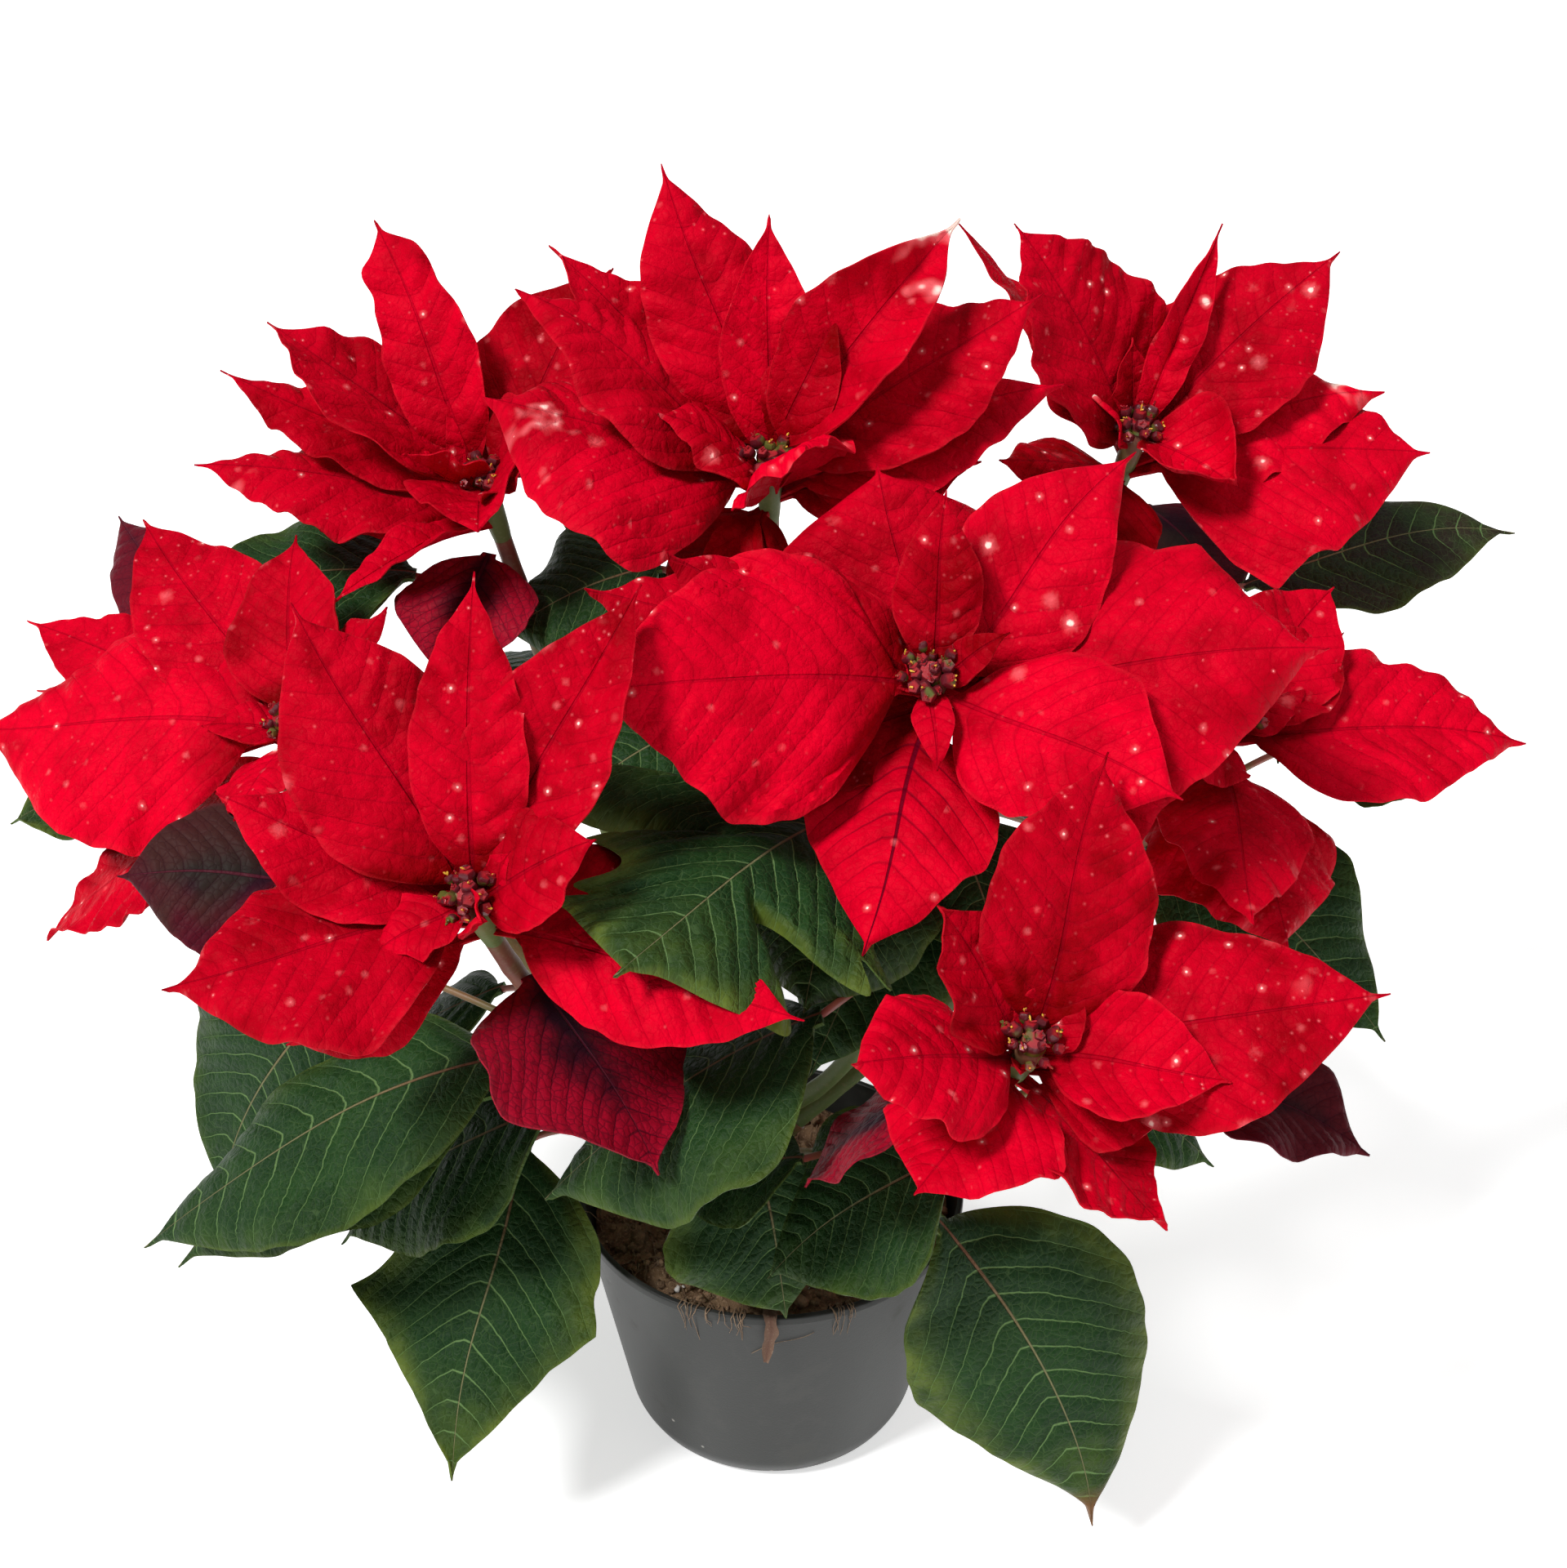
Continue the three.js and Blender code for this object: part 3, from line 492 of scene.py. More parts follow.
def relief(x, s, v, y, halves, phi, width, fold, look, settings, rng):
    """How far a blade's surface stands off the flat: the fold's slope; the ruffle as sin(2 pi (waves x +
    phase)) times v^2; the curl as |v|^3 and the curled edge as v^4; a cup as |v|^1.6; a swelling |sin pi
    phi|^0.8 between the side veins; pleats as a sine of phi times |v|^1.5; a wing as |v|; and creases as
    five sines of s and |y|."""
    edge = abs(v)[None, :]
    body = np.sin(np.pi * x)[:, None] ** 0.5
    along = x[:, None]
    waves = look.get("waves", rng.uniform(1.6, 3.0))
    phases = rng.uniform(0, 1, 2)
    phase = np.where(v < 0, phases[0], phases[1])[None, :]
    ruffle = settings.ruffle * look["ruffle"] * width * body
    height = halves * edge * math.sin(math.radians(fold))
    height = height + ruffle * edge**2 * np.sin(2 * np.pi * (waves * along + phase))
    height = height + look.get("curl", rng.uniform(-0.1, 0.05)) * width * body * edge**3
    height = height + look["cup"] * halves * edge**1.6
    curled = look["curled"] * width * 0.07
    height = height - curled * body * edge**4 * (1.2 + np.sin(9 * along + 5 * phase))
    swell = abs(np.sin(np.pi * phi)) ** 0.8 * np.clip(edge * 3, 0, 1) * (1 - edge**6)
    height = height + settings.quilting / MM * look["quilt"] * swell * np.minimum(1, halves / 12)
    pleat = look["pleat"] * np.sin(2 * np.pi * phi * 1.4 + 3 * np.sin(0.05 * s)) * edge**1.5
    height = height + pleat * (1 - edge**8) * body * np.minimum(1, halves / 10)
    height = height + np.where(v < 0, *look["wing"])[None, :] * edge * body
    for _ in range(5):
        heading, start = rng.uniform(0.2, 1.3), rng.uniform(0, 2 * np.pi)
        pitch = 2 * np.pi / rng.uniform(8, 22)
        wave = np.sin(pitch * (s * math.sin(heading) - abs(y) * math.cos(heading)) + start)
        height = height + look["crease"] * 0.5 * wave * edge * body * np.minimum(1, halves / 10)
    return height


def blade(skin, row, root, settings, rng, arch, fold, foot_share, begin, thickness, place=None):
    """Adds a blade. Along u its midrib is root + u L along + 4 arch u (1-u) L above, bent further near
    the tip. Across it v runs from -1 to 1, y is v times that side's half width, and relief() lifts the
    surface off the flat. The side veins' number is phi = (s - |y| cot - c y^2) / spacing. A sweep moves a
    half forward by its share of |y|. The skin is that surface moved by half its thickness both ways, and
    thicker at its foot and under the midrib."""
    azimuth, length, lift, width = (row[key] for key in ("azimuth", "length", "lift", "width"))
    look = row["look"]
    fold = look.get("fold", fold)
    fine = look["fine"]
    rows = int(np.clip(length / 1.7, 18, 64) * fine)
    columns = 2 * int(np.clip(width / 5.0, 4, 11) * fine) + 1
    u = begin + (1 - begin) * np.linspace(0, 1, rows)
    v = np.linspace(-1, 1, columns)
    x = np.clip((u - foot_share) / (1 - foot_share), 0, 1)

    # The midrib, and the blade's own frame along it.
    along = direction(azimuth, lift)
    across = unit(np.cross(along, direction(azimuth, lift + 90)))
    above = np.cross(across, along)
    tangent = unit(along + arch * 4 * (1 - 2 * u)[:, None] * above)
    sway = look.get("sway", rng.uniform(-0.02, 0.02))
    bend = rng.uniform(-0.02, 0.02)
    middle = (root + (u * length)[:, None] * along + (arch * 4 * u * (1 - u) * length)[:, None] * above
              + (sway * length * np.sin(2 * np.pi * u))[:, None] * across
              + (bend * length * np.clip((u - 0.7) / 0.3, 0, 1) ** 2)[:, None] * above)
    twist = np.radians(look.get("twist", rng.uniform(-6, 6)))
    turn = np.radians(row["roll"]) * np.minimum(1, u / 0.2) + twist * u**2
    sideways = np.cos(turn)[:, None] * across + np.sin(turn)[:, None] * np.cross(tangent, across)
    normal = np.cross(sideways, tangent)

    # The surface.
    least = np.where(x < 0.5, FOOT_WIDTH, TIP_WIDTH) / 2
    left, right = (half_width(side, x, width, least, row, rng)[:, None] for side in (-1, 1))
    halves = np.where(v[None, :] < 0, left, right)
    y = v[None, :] * halves
    s = (u * length)[:, None]
    cot, offset = (np.where(v < 0, *pair)[None, :] for pair in ((0.62, 0.7), (0.0, 0.35)))
    spacing = 2.6 + 0.062 * length
    phi = (s - abs(y) * cot - 0.011 * y * y) / spacing + offset * np.minimum(1, abs(y) / 4)
    height = relief(x, s, v, y, halves, phi, width, fold, look, settings, rng)
    forward = np.where(v < 0, *look["sweep"])[None, :] * abs(y)
    forward = forward * np.minimum(1, 3 * (1 - x))[:, None]
    flat = y * math.cos(math.radians(fold))
    points = (middle[:, None] + flat[..., None] * sideways[:, None] + height[..., None] * normal[:, None]
              + forward[..., None] * tangent[:, None])

    # The skin over both faces.
    du, dv = np.gradient(points, axis=0), np.gradient(points, axis=1)
    out = unit(np.cross(dv, du))
    stalk = np.clip(1 - x / 0.25, 0, 1)[:, None] ** 1.5
    rib = (1.5 * (1 - x[:, None]) ** 0.8 + 0.2) * np.exp(-((y / 1.1) ** 2))
    upper = thickness / 2 + stalk * 0.55
    lower = upper + rib * 0.8
    top, bottom = points + out * upper[..., None], points - out * lower[..., None]
    ring = np.concatenate([top, bottom[:, ::-1]], axis=1)
    if place is not None:
        ring = ring @ place[0].T + place[1]

    def both(grid):
        """The same values on the top and, mirrored, on the bottom."""
        grid = np.broadcast_to(grid, points.shape[:2])
        return np.concatenate([grid, grid[:, ::-1]], axis=1)

    upside = np.zeros(points.shape[:2])
    skin.add(
        ring, ring_faces(rows, 2 * columns),
        veins=np.stack([both(phi), both(v[None, :])], -1), skin=np.stack([both(s) / 100, both(y) / 100], -1),
        along=both(x[:, None]), under=np.concatenate([upside, upside + 1], axis=1),
        seed=rng.uniform(0, 50), tone=look.get("tone", rng.uniform(0.1, 0.65)),
        specks=look["specks"], cream=look["cream"], age=look["age"], special=look["dead"], dusk=look["dusk"],
    )


def tube(skin, line, radii, sides=12, kind=0, seed=0.0, **values):
    """Adds a closed tube: a circle of radii[i] square to the line at its point i."""
    line = np.asarray(line, float)
    radii = np.broadcast_to(np.asarray(radii, float), len(line))
    tangent = unit(np.gradient(line, axis=0))
    start = np.cross(tangent[0], [0, 0, 1.0])
    if np.linalg.norm(start) < 0.1:
        start = np.cross(tangent[0], [1.0, 0, 0])
    side = [unit(start)]
    for t in tangent[1:]:
        side.append(unit(side[-1] - (side[-1] @ t) * t))
    side = np.array(side)
    other = np.cross(tangent, side)
    angle = 2 * np.pi * np.arange(sides) / sides
    cos, sin = np.cos(angle)[None, :, None], np.sin(angle)[None, :, None]
    circle = cos * side[:, None] + sin * other[:, None]
    points = line[:, None] + radii[:, None, None] * circle
    run = np.concatenate([[0], np.cumsum(np.linalg.norm(np.diff(line, axis=0), axis=1))])
    skin_map = np.stack(np.broadcast_arrays(run[:, None] / 100, (angle / (2 * np.pi))[None, :]), -1)
    values.setdefault("along", np.broadcast_to(np.linspace(0, 1, len(line))[:, None], points.shape[:2]))
    skin.add(points, ring_faces(len(line), sides), kind, skin=skin_map, seed=seed, **values)


def bezier(p0, p1, p2, p3, count):
    """Points of the cubic curve at even steps of its parameter."""
    t = np.linspace(0, 1, count)[:, None]
    return (1 - t) ** 3 * p0 + 3 * t * (1 - t) ** 2 * p1 + 3 * t * t * (1 - t) * p2 + t**3 * p3


# ---- Where the stems run ----


def lean_of(bloom):
    """The turn from upright to the way a bloom faces."""
    azimuth, tilt = bloom["lean"]
    return turn_matrix(direction(azimuth + 90, 0), tilt)


def stem_end(bloom):
    """Where a shoot ends, under its bloom's hub."""
    return np.array(bloom["at"], float) - STEM["hub"] * lean_of(bloom)[:, 2]


def fork(bloom):
    """Where a shoot leaves the trunk, and in which direction."""
    end = stem_end(bloom)
    azimuth = math.degrees(math.atan2(end[1], end[0]))
    return np.array([0, 0, bloom["branch"]], float), direction(azimuth, STEM["rise"])


def shoot_line(bloom, count=41):
    """The shoot's middle line: straight out of its stub, and square to the underside of its bloom."""
    origin, out = fork(bloom)
    start, end = origin + STEM["stub"] * out, stem_end(bloom)
    span = np.linalg.norm(end - start)
    arriving = end - STEM["arrive"] * span * lean_of(bloom)[:, 2]
    return bezier(start, start + STEM["leave"] * span * out, arriving, end, count)


def stalk_start(line, foot, drop, highest):
    """The place on the shoot nearest to a spot a little below the blade's foot."""
    spot = np.array(foot, float) - (0, 0, drop)
    places = line[1 : math.floor((len(line) - 1) * highest)]
    return places[np.argmin(np.linalg.norm(places - spot, axis=1))]


def add_leaf(skin, line, row, drop, highest, settings, rng, stalk_kind):
    """Adds a leaf's blade, and its stalk as a slightly bowed tube from the shoot to the blade's foot."""
    foot = np.array(row["foot"], float)
    reach = np.array(row["tip"], float) - foot
    length = np.linalg.norm(reach)
    lies = dict(azimuth=math.degrees(math.atan2(reach[1], reach[0])), length=length,
                lift=math.degrees(math.asin(reach[2] / length)))
    blade(skin, row | lies, foot, settings, rng, arch=0.07, fold=-6, foot_share=0.03, begin=0.0,
          thickness=settings.leaf_thickness / MM)
    start = stalk_start(line, foot, drop, highest)
    into = foot + 3.5 * reach / length
    span = np.linalg.norm(into - start)
    leaving = start + 0.35 * (into - start) + (0, 0, 0.05 * span)
    path = bezier(start, leaving, into - 0.18 * span * reach / length, into, 18)
    t = np.linspace(0, 1, 18)
    radii = 1.15 + 0.7 * np.exp(-((t / 0.1) ** 2)) - 0.35 * np.clip((t - 0.9) / 0.1, 0, 1)
    tube(skin, path, radii, 10, stalk_kind, seed=rng.uniform(0, 50))


# ---- Materials ----


class Graph:
    """Short calls that add shader nodes to a tree and link them."""

    def __init__(self, tree):
        self.tree = tree

    def node(self, kind, settings=None, **inputs):
        node = self.tree.nodes.new("ShaderNode" + kind)
        for key, value in (settings or {}).items():
            setattr(node, key, value)
        for key, value in inputs.items():
            self.put(node.inputs[key.replace("_", " ")], value)
        return node

    def put(self, socket, value):
        """Links another node's output to the socket, or sets the socket's own value."""
        if isinstance(value, bpy.types.NodeSocket):
            self.tree.links.new(value, socket)
        elif socket.type == "RGBA":
            socket.default_value = (*value, 1)
        else:
            socket.default_value = value

    def math(self, operation, *values, clamp=False):
        node = self.node("Math", dict(operation=operation, use_clamp=clamp))
        for socket, value in zip(node.inputs, values):
            self.put(socket, value)
        return node.outputs[0]

    def times(self, a, b, clamp=False):
        return self.math("MULTIPLY", a, b, clamp=clamp)

    def plus(self, a, b, clamp=False):
        return self.math("ADD", a, b, clamp=clamp)

    def minus(self, a, b):
        return self.math("SUBTRACT", a, b)

    def most(self, a, b):
        return self.math("MAXIMUM", a, b)

    def mix(self, factor, a, b):
        node = self.node("Mix", dict(data_type="RGBA", clamp_factor=True))
        for index, value in ((0, factor), (6, a), (7, b)):
            self.put(node.inputs[index], value)
        return node.outputs[2]

    def step(self, value, low, high, start=0.0, end=1.0):
        """A smooth step from start at low to end at high."""
        node = self.node("MapRange", dict(interpolation_type="SMOOTHSTEP"), Value=value)
        for key, number in zip(("From Min", "From Max", "To Min", "To Max"), (low, high, start, end)):
            self.put(node.inputs[key], number)
        return node.outputs[0]

    def value(self, name):
        return self.node("Attribute", dict(attribute_name=name)).outputs["Fac"]

    def noise(self, vector, scale, detail=3, roughness=0.55):
        node = self.node("TexNoise", Vector=vector, Scale=scale, Detail=detail, Roughness=roughness)
        return node.outputs["Fac"]

    def cells(self, vector, scale, feature="F1"):
        return self.node("TexVoronoi", dict(feature=feature), Vector=vector, Scale=scale)

    def chance(self, cells):
        """A random share for each cell."""
        return self.node("SeparateColor", Color=cells.outputs["Color"]).outputs[0]

    def bump(self, height, distance, strength=1.0):
        return self.node("Bump", Height=height, Distance=distance, Strength=strength).outputs[0]

    def position(self):
        return self.node("TexCoord").outputs["Object"]

    def map(self, name):
        """The two parts of a map that the mesh carries."""
        parts = self.node("SeparateXYZ", Vector=self.node("UVMap", dict(uv_map=name)).outputs[0])
        return parts.outputs[0], parts.outputs[1]

    def placed(self, name, **inputs):
        """The outputs of a shared node group, which is built on its first use."""
        tree = bpy.data.node_groups.get(name) or GROUPS[name](name)
        return self.node("Group", dict(node_tree=tree), **inputs).outputs


def group(name, inputs, outputs):
    """A new node group: its graph, its inputs, and a function that feeds an output by name."""
    tree = bpy.data.node_groups.new(name, "ShaderNodeTree")
    for key, default in inputs.items():
        socket = tree.interface.new_socket(key, in_out="INPUT", socket_type="NodeSocketFloat")
        socket.default_value = default
    for key in outputs:
        tree.interface.new_socket(key, in_out="OUTPUT", socket_type="NodeSocketFloat")
    graph = Graph(tree)
    entry, leave = tree.nodes.new("NodeGroupInput"), tree.nodes.new("NodeGroupOutput")
    return graph, entry.outputs, lambda key, value: graph.put(leave.inputs[key], value)


def blade_vector(g):
    """A place on a blade in decimetres along and across, on a slice of its own for each blade: its
    distance from the midrib, and the vector."""
    along, across = g.map("skin")
    return across, g.node("CombineXYZ", X=along, Y=across, Z=g.value("seed")).outputs[0]


def make_vein_group(name):
    """Veins of a blade. Side veins lie where phi is a whole number; the net is the edges of two sets of
    cells; the relief swells between the veins and sinks along the midrib."""
    g, inputs, put = group(
        name,
        {"Side width": 0.07, "Rib width": 0.009, "Net scale": 34.0, "Net width": 0.05},
        ("Midrib", "Side", "Net", "Margin", "Relief"),
    )
    number, out = g.map("veins")
    edge = g.math("ABSOLUTE", out)
    across, vector = blade_vector(g)
    wobble = g.times(g.minus(g.noise(vector, 9.0, 2), 0.5), 0.35)
    phi = g.plus(number, wobble)
    away = g.math("ABSOLUTE", g.minus(g.math("FRACT", g.plus(phi, 0.5)), 0.5))
    width = g.times(inputs["Side width"], g.minus(1.25, edge))
    side = g.minus(1.0, g.step(away, g.times(width, 0.35), width))
    rib_width = g.times(g.minus(1.15, g.value("along")), inputs["Rib width"])
    midrib = g.minus(1.0, g.step(g.math("ABSOLUTE", across), g.times(rib_width, 0.45), rib_width))
    scale, net_width = inputs["Net scale"], inputs["Net width"]
    coarse = g.cells(vector, scale, "DISTANCE_TO_EDGE").outputs["Distance"]
    fine = g.cells(vector, g.times(scale, 2.3), "DISTANCE_TO_EDGE").outputs["Distance"]
    net = g.minus(1.0, g.step(coarse, 0.0, net_width))
    fine_net = g.minus(1.0, g.step(fine, 0.0, g.times(net_width, 1.6)))
    put("Midrib", midrib)
    put("Side", side)
    put("Net", g.most(net, g.times(fine_net, 0.45)))
    put("Margin", g.step(g.plus(edge, g.times(wobble, 0.12)), 0.93, 0.995))
    dome = g.math("POWER", g.times(away, 2.0), 0.5)
    pebbles = g.math("POWER", g.times(coarse, 1.6, clamp=True), 0.6)
    relief = g.plus(g.times(dome, 0.6), g.times(pebbles, 0.35))
    put("Relief", g.minus(relief, g.times(midrib, 0.7)))
    return g.tree


def make_grain_group(name):
    """Fine uneven colour and height in object space, for plastic, bark, peat and dry leaf."""
    g, inputs, put = group(name, {"Scale": 400.0, "Coarse scale": 40.0}, ("Fine", "Coarse", "Height"))
    where = g.position()
    fine, coarse = g.noise(where, inputs["Scale"], 4, 0.6), g.noise(where, inputs["Coarse scale"], 3)
    put("Fine", fine)
    put("Coarse", coarse)
    put("Height", g.plus(g.times(fine, 0.5), g.times(coarse, 0.5)))
    return g.tree


GROUPS = {"Blade veins": make_vein_group, "Fine grain": make_grain_group}


def bract_specks(g, vector, along):
    """Cream specks in soft halos, in three sizes, and blotches near the tip of a bract with much cream."""
    amount, cream = g.value("specks"), g.value("cream")
    ragged = g.plus(0.55, g.times(g.noise(vector, 70.0, 2), 0.9))

    def layer(scale, keep, radius, halo):
        cell = g.cells(vector, scale)
        distance = g.times(cell.outputs["Distance"], ragged)
        kept = g.math("LESS_THAN", g.chance(cell), g.times(amount, keep))
        near = g.step(distance, radius * 1.3, radius * 0.2)
        glow = g.times(g.step(distance, halo, 0.0), 0.55)
        return g.times(kept, g.most(near, glow))

    large, small = layer(5.5, 0.45, 0.085, 0.2), layer(15.0, 0.34, 0.11, 0.26)
    tiny = g.times(layer(38.0, 0.28, 0.12, 0.28), g.step(along, 0.35, 0.95, 0.15, 0.75))
    specks = g.most(g.most(large, g.times(small, 0.9)), tiny)
    patches = g.plus(g.noise(vector, 6.5, 2), g.times(cream, g.step(along, 0.45, 1.0, 0.05, 0.32)))
    return g.most(specks, g.times(g.step(patches, 0.74, 0.88), g.step(cream, 0.15, 0.6)))


def bract_look(g, colours):
    """Red, deeper towards the foot, in random patches and in the net, and deeper still on a bract with a high
    tone, which is painted shade; with specks and a pale margin; maroon veins on one.
    """
    vein = g.placed("Blade veins", Side_width=0.085, Net_scale=30.0, Net_width=0.07)
    _, vector = blade_vector(g)
    along, tone, maroon = g.value("along"), g.value("tone"), g.value("age")
    patchy, mottled = g.noise(vector, 5.0, 3), g.noise(vector, 26.0, 4, 0.65)
    # A high tone darkens the whole bract. On the bracts listed with one it is painted shade; elsewhere tone
    # varies at random. The rest darkens towards the foot and in random patches.
    deep = g.plus(g.times(tone, 0.7), g.times(g.step(along, 0.25, 0.0), 0.45))
    deep = g.plus(deep, g.times(g.step(patchy, 0.4, 0.7), 0.35))
    deep = g.plus(deep, g.times(g.minus(mottled, 0.5), 0.5), clamp=True)
    colour = g.mix(deep, colours.bract, colours.bract_deep_and_shade)
    colour = g.mix(g.plus(g.times(vein["Side"], 0.09), g.times(vein["Net"], 0.1)), colour, (0.2, 0.0, 0.006))
    colour = g.mix(g.times(vein["Midrib"], g.plus(0.08, g.times(maroon, 0.8))), colour, (0.08, 0.0, 0.008))
    branching = g.times(g.times(vein["Side"], maroon), g.step(along, 0.9, 0.3))
    colour = g.mix(g.times(branching, 0.5), colour, (0.09, 0.0, 0.008))
    specks = bract_specks(g, vector, along)
    colour = g.mix(specks, colour, (0.98, 0.2, 0.22))
    colour = g.mix(g.step(specks, 0.5, 0.9), colour, (1.0, 0.78, 0.68))
    colour = g.mix(g.times(g.value("under"), 0.4), colour, (0.42, 0.0, 0.008))
    colour = g.mix(g.times(vein["Margin"], 0.06), colour, (0.8, 0.07, 0.08))
    wrinkled = g.plus(g.times(vein["Relief"], 0.7), g.times(mottled, 0.9))
    return dict(Base_Color=colour, Roughness=g.step(vein["Relief"], 0.2, 0.9, 0.55, 0.42),
                Normal=g.bump(wrinkled, 0.0016, 0.7))


def green_leaf_look(g, colours):
    """Pale veins and net, a yellow margin and tip where it is old, dusky or with a dead tip on one."""
    vein = g.placed("Blade veins", Side_width=0.04, Rib_width=0.0068, Net_scale=34.0, Net_width=0.05)
    _, vector = blade_vector(g)
    edge = g.math("ABSOLUTE", g.map("veins")[1])
    along, tone, age = g.value("along"), g.value("tone"), g.value("age")
    patchy = g.step(g.noise(vector, 7.0, 3), 0.35, 0.7)
    base = g.mix(g.times(patchy, 0.6), colours.leaf, (0.017, 0.058, 0.011))
    # Tone darkens a whole leaf: at random, and as painted shade on a leaf listed with a high tone.
    base = g.mix(g.times(tone, 0.45), base, (0.004, 0.016, 0.004))
    base = g.mix(g.times(g.value("dusk"), g.step(patchy, 1.0, 0.0, 0.5, 0.95)), base, (0.022, 0.011, 0.01))
    outer = g.plus(g.times(g.step(edge, 0.55, 1.0), 0.75), g.times(g.step(along, 0.6, 1.0), 0.5))
    yellow = g.times(outer, g.plus(0.25, g.times(patchy, 0.75)))
    yellow = g.times(yellow, g.plus(0.12, g.times(age, 0.95)), clamp=True)
    base = g.mix(yellow, base, colours.leaf_margin)
    base = g.mix(g.times(vein["Net"], 0.24), base, colours.leaf_vein)
    base = g.mix(g.times(vein["Side"], 0.9), base, tuple(1.15 * c for c in colours.leaf_vein))
    rib = g.mix(g.step(along, 0.0, 0.5), (0.2, 0.085, 0.05), (0.2, 0.19, 0.09))
    base = g.mix(g.times(vein["Midrib"], 0.85), base, rib)
    base = g.mix(g.times(vein["Margin"], 0.25), base, colours.leaf_margin)
    base = g.mix(g.times(g.step(along, 0.86, 0.95), g.value("special")), base, (0.16, 0.075, 0.03))
    base = g.mix(g.times(g.value("under"), 0.55), base, (0.05, 0.1, 0.035))
    pebbled = g.plus(vein["Relief"], g.times(g.noise(vector, 75.0, 3, 0.6), 0.5))
    return dict(Base_Color=base, Roughness=g.step(vein["Relief"], 0.1, 0.9, 0.6, 0.42),
                Normal=g.bump(pebbled, 0.0014, 0.85))


def turning_leaf_look(g, colours):
    """Near black along the midrib, maroon to red outwards, with a dark vein net."""
    vein = g.placed("Blade veins", Side_width=0.07, Rib_width=0.0075, Net_scale=36.0, Net_width=0.1)
    _, vector = blade_vector(g)
    edge = g.math("ABSOLUTE", g.map("veins")[1])
    along, age = g.value("along"), g.value("age")
    outward = g.plus(edge, g.times(g.minus(g.noise(vector, 8.0, 3), 0.5), 0.7))
    outward = g.plus(outward, g.times(g.step(along, 0.3, 0.95), 0.5))
    outward = g.times(g.step(outward, 0.0, 0.65), age, clamp=True)
    base = g.mix(outward, colours.dark, colours.dark_red)
    green = g.times(g.step(age, 0.35, 0.1), g.step(g.noise(vector, 4.0, 2), 0.4, 0.6))
    base = g.mix(g.times(green, 0.5), base, (0.018, 0.03, 0.016))
    lines = g.most(g.times(vein["Side"], 0.8), g.times(vein["Net"], 0.6))
    base = g.mix(g.times(lines, g.step(age, 0.1, 0.7, 0.4, 0.85)), base, (0.022, 0.003, 0.01))
    base = g.mix(g.times(vein["Midrib"], 0.6), base, (0.1, 0.01, 0.025))
    base = g.mix(g.times(vein["Margin"], 0.3), base, (0.16, 0.02, 0.03))
    return dict(Base_Color=base, Normal=g.bump(vein["Relief"], 0.001, 0.7))


def stem_look(g, colours):
    """Green with a red flush, and faint pale flecks."""
    grain = g.placed("Fine grain", Scale=900.0, Coarse_scale=60.0)
    flush = g.step(g.plus(g.times(g.value("along"), 0.6), grain["Coarse"]), 0.6, 1.2)
    base = g.mix(flush, (0.11, 0.15, 0.045), (0.2, 0.05, 0.035))
    base = g.mix(g.times(g.step(grain["Fine"], 0.5, 0.7), 0.35), base, (0.24, 0.2, 0.1))
    return dict(Base_Color=base, Normal=g.bump(grain["Height"], 0.0004, 0.5))


def leaf_stalk_look(g, colours):
    """Red-brown above, greener below."""
    grain = g.placed("Fine grain", Scale=800.0, Coarse_scale=70.0)
    above = g.step(g.plus(g.value("along"), grain["Coarse"]), 0.6, 1.4)
    return dict(Base_Color=g.mix(above, (0.16, 0.16, 0.05), (0.26, 0.055, 0.04)),
                Normal=g.bump(grain["Fine"], 0.0003, 0.4))


def bark_look(g, colours):
    """Grey-brown with dark flecks."""
    grain = g.placed("Fine grain", Scale=500.0, Coarse_scale=90.0)
    base = g.mix(grain["Coarse"], (0.13, 0.095, 0.05), (0.25, 0.21, 0.13))
    base = g.mix(g.step(grain["Fine"], 0.5, 0.75), base, (0.07, 0.045, 0.025))
    return dict(Base_Color=base, Normal=g.bump(grain["Height"], 0.001, 0.9))


def bud_look(g, colours):
    """Yellow-green at its foot, maroon, red at its lips, with green patches and some yellow bits."""
    grain = g.placed("Fine grain", Scale=1500.0, Coarse_scale=260.0)
    height = g.plus(g.value("along"), g.times(g.minus(grain["Coarse"], 0.5), 0.35))
    base = g.mix(g.step(height, 0.2, 0.55), (0.12, 0.14, 0.02), (0.1, 0.006, 0.012))
    base = g.mix(g.step(height, 0.84, 1.02), base, (0.36, 0.012, 0.02))
    base = g.mix(g.step(g.noise(g.position(), 190.0, 1), 0.6, 0.7), base, (0.1, 0.11, 0.02))
    base = g.mix(g.value("special"), base, (0.75, 0.45, 0.05))
    return dict(Base_Color=base, Normal=g.bump(grain["Fine"], 0.0002, 0.5))


def pot_plastic_look(g, colours):
    """Dark satin plastic with dust, and small pale spots that get rarer upwards."""
    grain = g.placed("Fine grain", Scale=1300.0, Coarse_scale=30.0)
    place = g.position()
    height = g.node("SeparateXYZ", Vector=place).outputs[2]
    dust = g.step(g.noise(place, 55.0, 5, 0.7), 0.5, 0.8)
    base = g.mix(g.times(grain["Coarse"], 0.35), colours.pot, (0.036, 0.038, 0.035))
    base = g.mix(g.times(dust, 0.16), base, (0.22, 0.21, 0.19))
    cells = g.cells(place, 210.0)
    rare = g.math("LESS_THAN", g.chance(cells), g.step(height, 0.035, 0.0, 0.02, 0.16))
    spot = g.times(rare, g.step(cells.outputs["Distance"], 0.2, 0.08))
    base = g.mix(g.times(spot, 0.8), base, (0.42, 0.4, 0.36))
    return dict(Base_Color=base, Roughness=g.step(dust, 0.0, 1.0, 0.42, 0.62),
                Normal=g.bump(grain["Fine"], 0.00012, 0.5))


